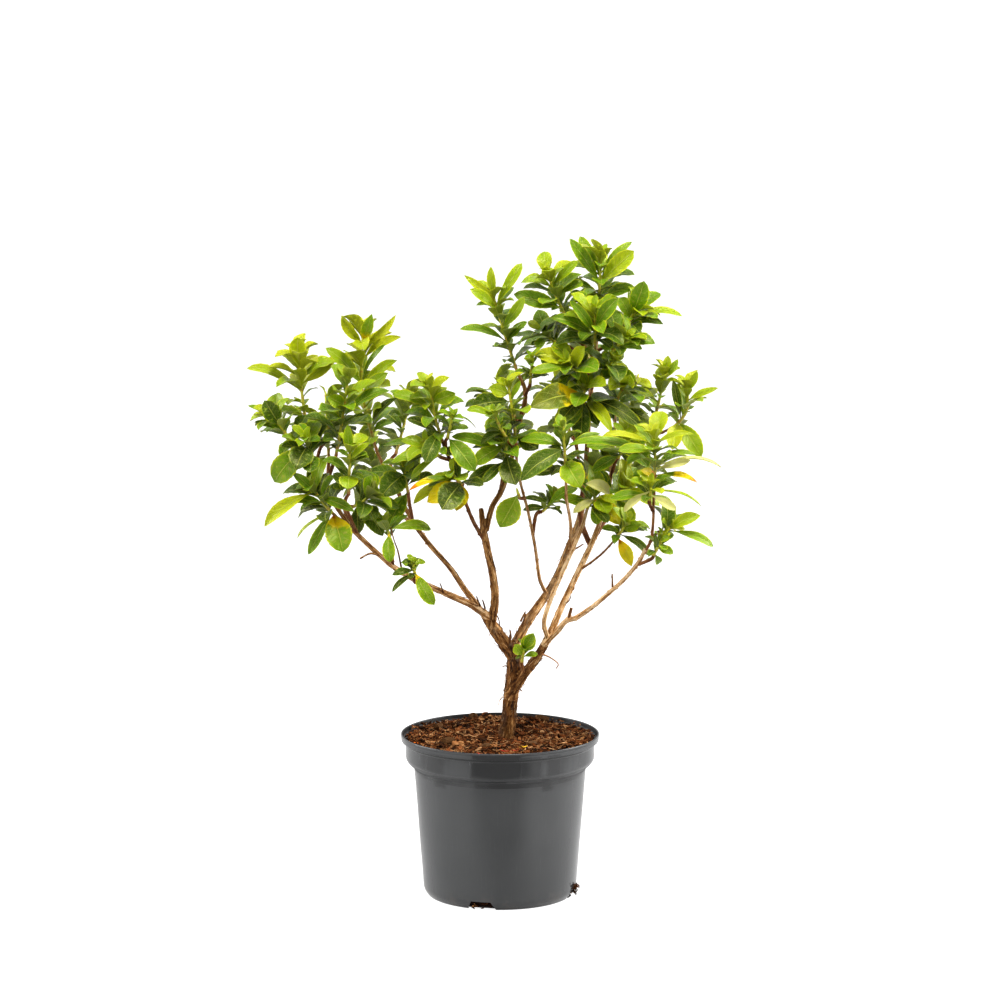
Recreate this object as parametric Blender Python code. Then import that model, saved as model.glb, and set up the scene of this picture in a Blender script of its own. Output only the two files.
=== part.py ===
"""A potted escallonia: a young evergreen shrub in a three-litre nursery pot.

Metres, +Z up. The origin is the centre of the pot's underside, and -Y is the side the shrub is seen from.
"""

import math
import random

import bmesh
import bpy
from mathutils import Matrix, Vector
from mathutils.bvhtree import BVHTree

MM = 0.001

# Pot: a three-litre container, moulded in one piece
RIM_DIAMETER = 0.190
POT_HEIGHT = 0.157
WALL = 1.8 * MM
FLOOR = 2.2 * MM
POT_SIDES = 32
LIP_HEIGHT = 6.5 * MM
LIP_STEP = 4.8 * MM
BAND_HEIGHT = 22.5 * MM
BAND_STEP = 7.8 * MM
SHOULDER_RISE = 4.6 * MM
RIM_ROUND = 0.9 * MM
BODY_FOOT_RADIUS = 73.3 * MM
FOOT_CORNER = 6 * MM
NOTCH_COUNT = 4
NOTCH_FIRST_ANGLE = -14.5
NOTCH_TOP_WIDTH = 19 * MM
NOTCH_FOOT_WIDTH = 28 * MM
NOTCH_HEIGHT = 8.5 * MM
NOTCH_DEPTH = 12 * MM

# Compost: bark and fibre, a little below the rim
GAP = 0.3 * MM
COMPOST_TOP = 0.151
COMPOST_RELIEF = 1.6 * MM
COMPOST_RINGS = (0.2, 0.42, 0.64, 0.86)
COMPOST_SIDES = 16
CHIP_COUNT = 34
CHIP_LENGTH = (10 * MM, 21 * MM)
TRUNK_CLEARING = 9 * MM

# The shrub is laid out as it is seen from the front, a little from above. One unit is a two-hundredth of
# the rim's diameter. A point's height is stretched a little, its depth more, and what lies further back
# is seen higher, so it is set lower.
UNIT = RIM_DIAMETER / 200
SIGHT_STRETCH = 1.018
SIGHT_DEPTH = 1.35
SIGHT_FALL = 0.13

# Leaves and their stems
BLADE_THICKNESS = 1.2 * MM
ROOT_HALF_WIDTH = 0.45 * MM
ROOT_THICKNESS = 0.75 * MM
TWIG_RADIUS = 1.6 * MM
STEM_RADIUS = 1.6 * MM
STEM_TIP_RADIUS = 1.15 * MM
CLEARANCE = 0.55 * MM
GOLDEN_ANGLE = 137.5
LARGE_LEAF = 35 * MM
LEAF_STALK = 0.2
TWIG_SIDES = 4
STEM_SIDES = 4

# Woody limbs. Each point is (across, up, back, thickness): across to the right of the pot's axis, up as
# seen from the front, back away from the viewer, all in units of the rim.
LIMBS = {
    "trunk": [
        (6, 120, 0, 14), (6, 146, 0, 14), (6, 158, 0, 15.5), (8, 170, 0, 14), (11, 198, 0, 14),
        (14, 224, 0, 14), (14, 242, 1, 13.5), (12, 252, 2, 12),
    ],
    "left_limb": [(14, 238, 1, 12), (2.5, 255, 2, 12), (-8, 271, 1, 11), (-15, 282, 0, 9)],
    "low_left": [
        (-7, 276, 1, 8), (-28, 291, -4, 6.6), (-52, 302.5, -10, 6), (-80, 315.5, -18, 5.6), (-102.5, 328.5, -24, 5.2),
        (-124, 346.5, -28, 4.8), (-146, 368, -31, 4.4), (-159, 386, -29, 4), (-173, 407, -22, 3.6),
        (-182, 427, -15, 3.3), (-189, 444, -10, 3), (-191, 456, -8, 2.8),
    ],
    "left_inner": [
        (-18, 284, 2, 6.4), (-35, 305.5, 10, 5.6), (-50, 327, 16, 5), (-70, 349, 22, 4.6), (-86, 370, 26, 4.2),
        (-97, 390, 28, 3.9), (-107, 412, 28, 3.5), (-118, 431, 26, 3.1), (-124, 444, 24, 2.8),
    ],
    "left_upright": [
        (-9, 272, 0, 9), (-5, 298, -2, 7.6), (-7, 320, -4, 7.2), (-12, 344, -6, 7), (-16, 364, -8, 6.6),
        (-19, 388, -8, 4.4),
    ],
    "centre_upright": [
        (-14, 366, -8, 5.8), (-8, 389, -6, 5.2), (1, 404, -2, 5), (7, 421, 0, 4.7), (13, 443, 2, 4.4),
        (18, 470, 5, 4.4), (25, 494, 8, 4.3), (24, 509, 8, 3.6), (18, 521, 8, 3),
    ],
    "mid_stem": [
        (-13, 352, -6, 4.4), (-26, 374, -12, 3.6), (-35, 396, -16, 3.3), (-45, 424, -18, 3.1),
        (-53, 444, -18, 3), (-57, 454, -18, 2.8),
    ],
    "leader": [
        (12, 246, 2, 9.6), (25, 269, 8, 8.8), (38, 288, 16, 8.2), (51, 306, 24, 7.6), (61, 325, 30, 7),
        (70, 348, 36, 6.5), (79, 370, 42, 6.2), (86, 400, 46, 5.4), (87, 430, 45, 4.8), (89, 462, 42, 4.5),
        (91, 494, 37, 4.1), (94, 526, 32, 3.7), (97, 553, 30, 3.3), (98, 575, 28, 2.9),
    ],
    "centre_stem": [
        (47, 301, 20, 3.8), (40, 316, 14, 3.2), (36, 344, 7, 3), (32, 366, 2, 2.9), (27, 389, -4, 2.7),
        (21, 411, -9, 2.6), (17, 432, -12, 2.5), (16, 450, -14, 2.4),
    ],
    "right_limb": [
        (11, 200, -1, 9.5), (22.5, 219.5, -4, 9), (34.5, 235.5, -8, 8.6), (43, 249.5, -12, 8), (48.5, 260.5, -14, 7),
    ],
    "right_upright": [
        (45.5, 254, -13, 6.8), (54.5, 273.5, -14, 6.5), (62, 291, -12, 6), (72, 312, -8, 5.7), (82.5, 333.5, -4, 5.4),
        (93, 355, 2, 5), (100, 374, 6, 4.8), (106, 394, 10, 4.4), (111, 418, 14, 4), (113, 444, 14, 3.4),
        (115, 468, 13, 3), (115, 484, 12, 2.7),
    ],
    "right_dark_stem": [(91, 350, 2, 5.6), (83, 369, 12, 5.2), (80, 389, 20, 4.8), (84, 408, 24, 3.2)],
    "tan_stem": [
        (48.5, 257, -15, 5), (44, 273, -19, 4.2), (47, 288, -20, 4.1), (55, 309, -19, 4.1), (66, 333.5, -17, 4),
        (76.5, 357, -13, 3.8), (83, 373, -8, 3.4), (87, 387, -3, 2.9),
    ],
    "front_stem": [(70, 348, -14, 3.4), (70, 374, -22, 2.9), (66, 398, -29, 2.7), (65, 422, -34, 2.4)],
    "right_twig_stem": [(79, 326, -5, 2.6), (97, 339, -10, 2.2), (108, 350, -15, 2), (115.5, 359, -18, 1.9)],
    "right_sweep": [
        (45, 254, -14, 6), (57.5, 267, -20, 5.5), (66, 277, -24, 5), (76.5, 281, -28, 4.8), (92, 292, -35, 4.5),
        (108.5, 306.5, -40, 4.2), (123.5, 320.5, -44, 4), (137, 337, -46, 3.8), (143.5, 350, -46, 3.4),
    ],
    "red_stem": [
        (142, 345, -46, 3), (149, 359, -46, 2.8), (151, 378, -46, 2.7), (151.5, 399, -45, 2.5), (152.5, 420, -43, 2.4),
    ],
    "right_arm": [
        (112, 432, 14, 3.2), (127, 447, 14, 2.8), (144, 457, 12, 2.7), (160, 462, 10, 2.6), (175, 469, 8, 2.4),
    ],
    "sweep_stub": [(68, 278, -25, 3.4), (71, 290, -27, 2.8)],
    "sweep_spur": [(111.5, 308.5, -40, 2.2), (111, 325, -41, 1.3)],
    "low_left_spur": [(-116, 340.5, -27, 2.6), (-128, 344.5, -30, 2), (-139, 339.5, -32, 1.6)],
    "fork_spur": [(10, 250, 0, 3.4), (10, 261, -3, 2)],
    "leader_spur": [(22, 268, 6, 3.2), (26, 282, 4, 1.6)],
    "leader_twig": [(67, 341, 33, 2.2), (78, 347, 26, 1.6), (84, 351, 22, 1.2)],
    "dead_tendril": [(36, 244, -10, 2.2), (48, 241, -16, 1.6), (58, 234, -18, 1.2), (56, 229, -18, 1.1)],
}

# Places where the sky shows through the crown: (across, up, radius). No leaf of a spiral crosses them.
OPENINGS = [
    (-173, 516, 8), (-184, 495, 8), (-12, 532, 13), (136, 534, 12), (147, 522, 8), (43, 480, 9), (-75, 431, 8),
    (6, 498, 6), (173, 353, 8), (170, 498, 6), (203, 485, 8), (-17, 517, 8), (-23, 473, 7), (-91, 469, 7),
    (-101, 440, 5), (-229, 452, 8), (-63, 433, 6), (-30, 404, 6), (-236, 497, 6), (193, 478, 7), (141, 384, 8),
    (-13, 556, 6), (-13, 579, 6), (32, 625, 5), (63, 640, 6), (149, 566, 5),
]

# Leafy shoots. Each stands on the end of a limb, or on a twig of its own that forks from one. Its base and
# tip are (across, up, back). A picked leaf is (place on the stem from 0 to 1, tip, width, look), and look
# is 0 where the blade faces the sky and 90 where it faces the viewer.
SHOOTS = {
    "left_tall": dict(
        limb="low_left", ends_limb=True, tip=(-200, 544, -10), leaves=12, blade=33,
        picks=[(0.55, (-250, 530, -4), 11, 50), (0.62, (-165, 538, 6), 12, 100), (0.8, (-200, 557, -16), 17, 80)],
    ),
    "left_outer": dict(
        limb="low_left", base=(-199, 448, -16), tip=(-226, 482, -24), leaves=9, blade=28,
        picks=[
            (0.6, (-250, 490, -12), 8, 30), (0.5, (-243, 474, -22), 9, 40), (0.7, (-231, 494, -38), 19, 75),
            (0.2, (-196, 462, -34), 14, 55),
        ],
    ),
    "left_crown": dict(
        limb="left_inner", ends_limb=True, tip=(-137, 566, 18), leaves=15, blade=34,
        picks=[
            (0.86, (-104, 576, 10), 9, 110), (0.76, (-98, 557, 6), 11, 50), (0.88, (-158, 578, 12), 11, 110),
            (0.5, (-102, 534, 0), 14, 45), (0.55, (-173, 547, 6), 14, 55), (0.42, (-116, 521, -14), 16, 60),
            (0.9, (-136, 548, -4), 17, 85), (0.18, (-105, 498, 0), 14, 40),
        ],
    ),
    "left_heart": dict(
        limb="low_left", base=(-163, 439, -20), tip=(-150, 516, -26), leaves=11, blade=32,
        picks=[(0.55, (-111, 507, -20), 15, 30), (0.5, (-178, 488, -30), 12, 35), (0.7, (-168, 498, -40), 14, 80)],
    ),
    "left_front": dict(
        limb="low_left", base=(-149, 404, -46), tip=(-147, 452, -54), leaves=8, blade=24,
        picks=[
            (0.42, (-149, 411, -66), 19, 82), (0.8, (-149, 472, -58), 10, 85), (0.7, (-128, 454, -58), 9, 40),
            (0.1, (-161, 418, -40), 18, 70),
        ],
    ),
    "left_low": dict(
        limb="low_left", base=(-163, 382, -36), tip=(-184, 408, -40), leaves=8, blade=32,
        picks=[
            (0.95, (-233, 373, -46), 15, 50), (0.5, (-208, 397, -36), 12, 45), (0.1, (-155, 348, -54), 27, 80),
            (0.15, (-190, 344, -40), 11, 60), (0.12, (-202, 361, -32), 6, 25), (0.7, (-144, 389, -54), 12, 50),
        ],
    ),
    "left_broad": dict(
        limb="low_left", base=(-187, 436, -24), tip=(-191, 455, -34), leaves=5, blade=34,
        picks=[(0.9, (-223, 416, -40), 25, 75), (0.8, (-200, 429, -54), 25, 75), (0.3, (-182, 404, -36), 14, 55)],
    ),
    "left_under": dict(
        limb="low_left", base=(-146, 390, -14), tip=(-130, 400, -18), leaves=5, blade=38,
        picks=[(0.4, (-116, 362, -22), 19, 60), (0.2, (-142, 362, -18), 14, 50), (0.7, (-100, 388, -10), 15, 45)],
    ),
    "left_inner_low": dict(
        limb="left_inner", base=(-92, 403, 8), tip=(-97, 432, -2), leaves=7, blade=32,
        picks=[(0.05, (-111, 370, -12), 18, 70), (0.7, (-118, 400, -20), 26, 75), (0.8, (-85, 434, -4), 16, 40)],
    ),
    "low_sprout": dict(
        limb="low_left", base=(-84, 323, -34), tip=(-86, 334, -36), leaves=5, blade=16,
        picks=[
            (0.3, (-107, 308, -40), 6, 60), (0.4, (-66, 296, -48), 14, 80), (0.95, (-74, 337, -32), 8, 40),
            (0.9, (-96, 338, -36), 8, 75), (0.5, (-106, 325, -40), 8, 60),
        ],
    ),
    "hanging_twig": dict(
        limb="low_left", base=(-108, 356, -30), tip=(-113, 374, -28), leaves=3, blade=26,
        picks=[(0.5, (-109, 338, -44), 13, 80), (0.7, (-68, 370, -20), 13, 50)],
    ),
    "left_back": dict(limb="low_left", base=(-172, 436, 22), tip=(-176, 500, 42), leaves=9, blade=33),
    "left_back_low": dict(limb="left_inner", base=(-118, 404, 62), tip=(-136, 448, 84), leaves=9, blade=34),
    "left_mid_back": dict(limb="left_inner", base=(-106, 440, 50), tip=(-92, 494, 64), leaves=8, blade=33),
    "left_shade": dict(limb="low_left", base=(-176, 452, 4), tip=(-166, 482, 8), leaves=7, blade=28),
    "mid_crown": dict(
        limb="mid_stem", ends_limb=True, tip=(-69, 508, -22), leaves=11, blade=28,
        picks=[
            (0.6, (-106, 502, -20), 13, 45), (0.75, (-44, 502, -26), 15, 100), (0.45, (-23, 474, -12), 5, 10),
            (0.2, (-72, 438, -46), 18, 80),
        ],
    ),
    "mid_side": dict(
        limb="mid_stem", base=(-52, 458, -28), tip=(-47, 480, -34), leaves=5, blade=17,
        picks=[(0.4, (-31, 469, -30), 8, 35), (0.05, (-25, 427, -44), 20, 65)],
    ),
    "mid_skirt": dict(
        limb="mid_stem", base=(-60, 440, -22), tip=(-68, 448, -26), leaves=5, blade=38,
        picks=[
            (0.6, (-107, 434, -34), 14, 35), (0.8, (-116, 452, -14), 14, 20), (0.4, (-96, 428, -12), 13, 30),
            (0.1, (-88, 418, -26), 9, 35),
        ],
    ),
    "mid_low": dict(
        limb="mid_stem", base=(-38, 413, -22), tip=(-45, 421, -30), leaves=4, blade=30,
        picks=[
            (0.1, (-56, 390, -52), 27, 78), (0.45, (-71, 396, -38), 19, 80), (0.95, (-89, 410, -44), 8, 45),
            (0.8, (-86, 393, -20), 11, 60), (0.12, (-43, 388, -36), 20, 78),
        ],
    ),
    "centre_bright": dict(
        limb="centre_stem", ends_limb=True, tip=(8, 510, -20), leaves=9, blade=25,
        picks=[(0.15, (38, 447, -26), 17, 65), (0.75, (20, 514, -22), 6, 60), (0.85, (-10, 508, -30), 14, 80)],
    ),
    "centre_side": dict(
        limb="centre_stem", base=(9, 454, -26), tip=(-7, 484, -36), leaves=7, blade=19,
        picks=[(0.8, (-32, 487, -38), 9, 45)],
    ),
    "centre_shade": dict(
        limb="centre_upright", base=(14, 478, 20), tip=(10, 498, 26), leaves=4, blade=38,
        picks=[(0.8, (-27, 490, 12), 21, 60)],
    ),
    "centre_skirt": dict(
        limb="centre_upright", base=(7, 430, -12), tip=(5, 453, -17), leaves=6, blade=40,
        picks=[
            (0.95, (-37, 460, -14), 9, 25), (0.9, (-24, 436, -34), 16, 60), (0.14, (-33, 413, -22), 14, 52),
            (0.5, (-38, 423, -14), 6, 25), (0.6, (15, 414, -40), 22, 85),
        ],
    ),
    "centre_right": dict(
        limb="front_stem", ends_limb=True, tip=(62, 470, -38), leaves=9, blade=21,
        picks=[
            (0.3, (78, 414, -58), 25, 75), (0.55, (21, 419, -54), 21, 62), (0.6, (20, 457, -30), 16, 42),
            (0.5, (99, 462, -34), 10, 30), (0.08, (33, 423, -36), 14, 50),
        ],
    ),
    "centre_twig": dict(
        limb="centre_stem", base=(42, 384, 6), tip=(55, 397, 8), leaves=5, blade=20,
        picks=[(0.3, (76, 409, 2), 13, 45), (0.35, (23, 386, 4), 8, 60), (0.6, (24, 398, 6), 7, 45)],
    ),
    "lone_leaf": dict(
        limb="centre_stem", base=(19, 400, -14), tip=(17, 407, -18), leaves=1, blade=30,
        picks=[(0.5, (0, 370, -24), 25, 85)],
    ),
    "upper_left": dict(
        limb="centre_upright", ends_limb=True, via=(6, 556, 8), tip=(-8, 602, 4), leaves=13, blade=28,
        picks=[
            (0.45, (-38, 568, 0), 12, 35), (0.88, (-35, 618, 2), 9, 60), (0.85, (20, 629, 0), 11, 60),
            (0.6, (23, 595, -4), 11, 70), (0.45, (27, 572, -2), 11, 45), (0.8, (-26, 604, -8), 11, 60),
        ],
    ),
    "upper_left_low": dict(limb="centre_upright", base=(30, 512, 0), tip=(32, 536, -6), leaves=6, blade=16),
    "upper_mid": dict(
        limb="leader", base=(76, 558, 18), tip=(46, 622, 8), leaves=12, blade=29,
        picks=[(0.5, (15, 600, 4), 17, 70), (0.8, (77, 632, 6), 10, 60), (0.65, (82, 612, 12), 12, 45)],
    ),
    "top": dict(
        limb="leader", ends_limb=True, tip=(101, 634, 24), leaves=11, blade=34,
        picks=[
            (0.62, (70, 654, 18), 13, 70), (0.72, (80, 657, 28), 12, 60), (0.75, (130, 652, 22), 9, 50),
            (0.6, (131, 641, 8), 18, 70), (0.35, (134, 607, 18), 14, 55), (0.3, (80, 604, 30), 16, 60),
        ],
    ),
    "top_front": dict(
        limb="leader", base=(95, 544, 6), tip=(93, 582, -8), leaves=10, blade=32,
        picks=[(0.6, (115, 594, -18), 15, 70), (0.5, (72, 590, -22), 10, 75), (0.4, (54, 578, -12), 16, 50)],
    ),
    "upper_right": dict(
        limb="leader", base=(120, 560, 18), tip=(136, 586, 12), leaves=8, blade=32,
        picks=[
            (0.75, (143, 612, 2), 19, 85), (0.7, (181, 580, 8), 12, 30), (0.4, (161, 573, 6), 13, 40),
            (0.6, (118, 596, 2), 14, 60),
        ],
    ),
    "shoulder": dict(
        limb="leader", base=(112, 544, 0), tip=(124, 556, -6), leaves=5, blade=30,
        picks=[(0.85, (153, 552, -14), 15, 50), (0.4, (141, 545, -8), 11, 40)],
    ),
    "inner_droop": dict(
        limb="leader", base=(102, 522, 8), tip=(112, 534, 0), leaves=6, blade=29,
        picks=[(0.7, (134, 514, -8), 12, 65)],
    ),
    "front_yellow": dict(
        limb="leader", base=(84, 520, 8), tip=(70, 531, -4), leaves=6, blade=33,
        picks=[(0.6, (84, 548, -26), 15, 60), (0.8, (31, 522, -16), 13, 45), (0.7, (33, 540, -2), 19, 45)],
    ),
    "inner_left": dict(limb="leader", base=(62, 548, 24), tip=(42, 564, 20), leaves=7, blade=29),
    "dark_heart": dict(
        limb="leader", base=(84, 494, 16), tip=(84, 506, 2), leaves=6, blade=42,
        picks=[
            (0.45, (35, 492, -32), 27, 66), (0.5, (140, 472, -16), 16, 55), (0.3, (60, 474, -20), 18, 60),
            (0.1, (98, 470, 2), 13, 50),
        ],
    ),
    "back_top": dict(limb="leader", base=(90, 530, 62), tip=(86, 580, 84), leaves=10, blade=33),
    "back_right": dict(limb="right_upright", base=(126, 470, 46), tip=(140, 518, 64), leaves=9, blade=33),
    "back_mid": dict(limb="leader", base=(72, 460, 76), tip=(62, 506, 98), leaves=9, blade=34),
    "back_centre": dict(limb="centre_upright", base=(2, 462, 46), tip=(-2, 512, 62), leaves=8, blade=34),
    "right_mid": dict(
        limb="right_upright", ends_limb=True, tip=(130, 516, 4), leaves=9, blade=30,
        picks=[(0.85, (131, 523, -20), 15, 80), (0.05, (152, 472, 2), 13, 45), (0.05, (98, 479, 4), 11, 55)],
    ),
    "right_crown": dict(
        limb="right_arm", base=(156, 480, 20), tip=(165, 522, 18), leaves=8, blade=24,
        picks=[(0.05, (152, 481, 4), 12, 60)],
    ),
    "right_tip": dict(
        limb="right_arm", ends_limb=True, tip=(187, 508, 4), leaves=9, blade=26,
        picks=[
            (0.7, (217, 507, 0), 9, 45), (0.15, (200, 440, -10), 18, 72), (0.14, (171, 446, -14), 16, 75),
            (0.25, (172, 515, -4), 9, 60),
        ],
    ),
    "red_stem_top": dict(
        limb="red_stem", ends_limb=True, tip=(152, 456, -44), leaves=8, blade=34,
        picks=[
            (0.85, (102, 463, -54), 9, 35), (0.6, (69, 457, -50), 12, 40), (0.9, (189, 464, -50), 8, 40),
            (0.3, (218, 435, -40), 7, 15), (0.05, (194, 419, -46), 8, 40), (0.7, (117, 448, -62), 12, 50),
            (0.4, (99, 446, -40), 9, 30), (0.55, (192, 443, -52), 7, 35), (0.06, (138, 427, -60), 9, 65),
            (0.2, (187, 437, -48), 9, 65),
        ],
    ),
    "red_stem_low": dict(
        limb="red_stem", base=(147, 398, -54), tip=(148, 410, -58), leaves=4, blade=30,
        picks=[(0.5, (174, 387, -44), 12, 40), (0.8, (198, 396, -56), 6, 15), (0.5, (108, 400, -56), 12, 45)],
    ),
    "right_side": dict(
        limb="red_stem", base=(158, 366, -50), tip=(167, 370, -54), leaves=4, blade=24,
        picks=[(0.8, (196, 384, -56), 13, 60), (0.7, (211, 354, -50), 11, 45), (0.4, (180, 384, -42), 9, 40)],
    ),
    "right_fork": dict(
        limb="right_sweep", base=(151, 344, -52), tip=(160, 362, -58), leaves=5, blade=19,
        picks=[
            (0.45, (170, 347, -60), 10, 50), (0.12, (155, 334, -48), 8, 60), (0.5, (152, 365, -66), 6, 80),
            (0.8, (166, 362, -66), 8, 60),
        ],
    ),
    "right_twig": dict(
        limb="right_twig_stem", ends_limb=True, tip=(125, 373, -24), leaves=6, blade=24,
        picks=[
            (0.12, (130.5, 333, -30), 13, 75), (0.6, (139, 373, -30), 13, 60), (0.4, (101, 369, -26), 9, 45),
            (0.3, (148, 345, -34), 9, 45),
        ],
    ),
    "right_inner": dict(
        limb="tan_stem", ends_limb=True, tip=(98, 399, -12), leaves=7, blade=30,
        picks=[(0.3, (107, 374, -38), 13, 40), (0.7, (119, 373, -26), 17, 65), (0.9, (73, 385, -22), 9, 60)],
    ),
    "right_low": dict(
        limb="right_upright", base=(110, 396, 4), tip=(124, 408, -4), leaves=7, blade=34,
        picks=[(0.6, (150, 398, -18), 16, 40), (0.3, (85, 413, -18), 14, 60)],
    ),
    "right_depth": dict(limb="right_dark_stem", ends_limb=True, tip=(104, 432, 34), leaves=7, blade=33),
    "right_gap": dict(
        limb="right_upright", base=(118, 438, -2), tip=(124, 454, -12), leaves=6, blade=33,
        picks=[(0.1, (92, 425, -16), 13, 55)],
    ),
    "back_low_right": dict(limb="right_upright", base=(122, 404, 56), tip=(138, 444, 76), leaves=8, blade=33),
    "basal_sprout": dict(
        limb="right_limb", base=(22, 235, -14), tip=(24, 250, -18), leaves=4, blade=15,
        picks=[(0.7, (33, 264, -22), 15, 85), (0.5, (15, 253, -20), 11, 80), (0.4, (37, 244, -18), 7, 50)],
    ),
}


def clear_scene():
    for obj in list(bpy.data.objects):
        bpy.data.objects.remove(obj, do_unlink=True)


def material(name, colour, roughness):
    """A plain painted finish in one colour."""
    made = bpy.data.materials.new(name)
    made.use_nodes = True
    shader = made.node_tree.nodes["Principled BSDF"]
    shader.inputs["Base Color"].default_value = (*colour, 1)
    shader.inputs["Roughness"].default_value = roughness
    shader.inputs["Metallic"].default_value = 0
    return made


def mesh_object(name, verts, faces, finish=None, origin=Vector((0, 0, 0))):
    """An object whose mesh is given in world space, with its own origin at the point named."""
    mesh = bpy.data.meshes.new(name)
    mesh.from_pydata([Vector(v) - origin for v in verts], [], faces)
    work = bmesh.new()
    work.from_mesh(mesh)
    bmesh.ops.recalc_face_normals(work, faces=work.faces)
    work.to_mesh(mesh)
    work.free()
    if finish:
        mesh.materials.append(finish)
    obj = bpy.data.objects.new(name, mesh)
    obj.location = origin
    bpy.context.scene.collection.objects.link(obj)
    return obj


def fuse(body, pieces, solver="EXACT"):
    """Joins the pieces to the body in one Boolean union, applied, and removes them."""
    group = bpy.data.collections.new("pieces of " + body.name)
    bpy.context.scene.collection.children.link(group)
    for piece in pieces:
        bpy.context.scene.collection.objects.unlink(piece)
        group.objects.link(piece)
    union = body.modifiers.new("union", "BOOLEAN")
    union.operation = "UNION"
    union.solver = solver
    union.operand_type = "COLLECTION"
    union.collection = group
    apply_modifiers(body)
    for piece in pieces:
        bpy.data.objects.remove(piece, do_unlink=True)
    bpy.data.collections.remove(group)


def apply_modifiers(obj):
    bpy.context.view_layer.update()
    graph = bpy.context.evaluated_depsgraph_get()
    finished = bpy.data.meshes.new_from_object(obj.evaluated_get(graph), depsgraph=graph)
    obj.modifiers.clear()
    obj.data = finished


def cut(body, cutter):
    """Takes the cutter's shape out of the body for good."""
    difference = body.modifiers.new("cut", "BOOLEAN")
    difference.operation = "DIFFERENCE"
    difference.solver = "EXACT"
    difference.object = cutter
    apply_modifiers(body)
    bpy.data.objects.remove(cutter, do_unlink=True)


def shade_round(obj, angle=40):
    obj.data.shade_smooth()
    obj.data.set_sharp_from_angle(angle=math.radians(angle))


def lathe(name, outline, sides, finish):
    """A turned solid. The outline is (radius, height), from one point on the axis to another."""
    mesh = bpy.data.meshes.new(name)
    work = bmesh.new()
    points = [work.verts.new((radius, 0, height)) for radius, height in outline]
    edges = [work.edges.new(pair) for pair in zip(points, points[1:])]
    bmesh.ops.spin(
        work, geom=points + edges, cent=(0, 0, 0), axis=(0, 0, 1), angle=math.tau, steps=sides, use_merge=True
    )
    bmesh.ops.remove_doubles(work, verts=work.verts, dist=0.01 * MM)
    bmesh.ops.recalc_face_normals(work, faces=work.faces)
    work.to_mesh(mesh)
    work.free()
    mesh.materials.append(finish)
    obj = bpy.data.objects.new(name, mesh)
    bpy.context.scene.collection.objects.link(obj)
    return obj


def seen(point):
    """The place of a point given by how it is seen from the front and how far back it lies."""
    across, up, back = point[0], point[1], point[2] * SIGHT_DEPTH
    return Vector((across, back, up * SIGHT_STRETCH - back * SIGHT_FALL)) * UNIT


def seen_from_front(point):
    """The reverse of seen: how far across and how far up a point appears from the front."""
    return point.x / UNIT, (point.z + point.y * SIGHT_FALL) / UNIT / SIGHT_STRETCH


# Pot

def pot_inside():
    """The part of the pot's inner outline that the compost fills, from the band down to the floor."""
    shoulder = POT_HEIGHT - LIP_HEIGHT - BAND_HEIGHT
    band = RIM_DIAMETER / 2 - LIP_STEP - WALL
    return [
        (band, shoulder + SHOULDER_RISE + WALL / 2), (band - BAND_STEP, shoulder + WALL / 2),
        (BODY_FOOT_RADIUS - WALL, FOOT_CORNER + WALL / 2), (BODY_FOOT_RADIUS - FOOT_CORNER, FLOOR),
    ]


def make_pot():
    rim = RIM_DIAMETER / 2
    band = rim - LIP_STEP
    lip_foot = POT_HEIGHT - LIP_HEIGHT
    shoulder = lip_foot - BAND_HEIGHT
    body_top = band - BAND_STEP
    outline = [
        (0, 0), (BODY_FOOT_RADIUS - FOOT_CORNER * 0.75, 0), (BODY_FOOT_RADIUS - FOOT_CORNER * 0.2, FOOT_CORNER * 0.4),
        (BODY_FOOT_RADIUS, FOOT_CORNER), (body_top, shoulder - SHOULDER_RISE / 3), (body_top + BAND_STEP * 0.45, shoulder),
        (band, shoulder + SHOULDER_RISE), (band, lip_foot - RIM_ROUND), (rim, lip_foot),
        (rim, POT_HEIGHT - RIM_ROUND), (rim - WALL / 2, POT_HEIGHT), (rim - WALL, POT_HEIGHT - RIM_ROUND),
        (rim - WALL, lip_foot + WALL), (band - WALL, lip_foot), *pot_inside(), (0, FLOOR),
    ]
    pot = lathe("pot", outline, POT_SIDES, material("pot plastic", (0.085, 0.092, 0.098), 0.42))
    for index in range(NOTCH_COUNT):
        cut(pot, notch_cutter(NOTCH_FIRST_ANGLE + index * 360 / NOTCH_COUNT))
    shade_round(pot, 30)


def notch_cutter(angle):
    """A wedge that opens the corner between the wall and the floor. Angle 0 faces the viewer."""
    below = 1 * MM
    inner = BODY_FOOT_RADIUS - NOTCH_DEPTH
    outer = BODY_FOOT_RADIUS + 4 * MM
    slope = (NOTCH_FOOT_WIDTH - NOTCH_TOP_WIDTH) / 2 / NOTCH_HEIGHT
    foot = NOTCH_FOOT_WIDTH / 2 + slope * below
    section = [(-foot, -below), (foot, -below), (NOTCH_TOP_WIDTH / 2, NOTCH_HEIGHT), (-NOTCH_TOP_WIDTH / 2, NOTCH_HEIGHT)]
    turn = Matrix.Rotation(math.radians(angle), 3, "Z")
    verts = [turn @ Vector((x, -reach, z)) for reach in (inner, outer) for x, z in section]
    faces = [(0, 1, 2, 3), (4, 5, 6, 7)] + [(i, (i + 1) % 4, (i + 1) % 4 + 4, i + 4) for i in range(4)]
    return mesh_object("notch cutter", verts, faces)


# Compost

def compost_height(x, y):
    """The compost's rough surface, as a sum of waves that aren't in step."""
    unevenness = (
        math.sin(x * 210 + 1.3) * math.cos(y * 170 + 0.4)
        + 0.7 * math.sin(x * 96 - y * 143 + 2.1)
        + 0.5 * math.sin(x * 333 + y * 290)
    )
    return COMPOST_TOP + COMPOST_RELIEF * unevenness


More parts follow.
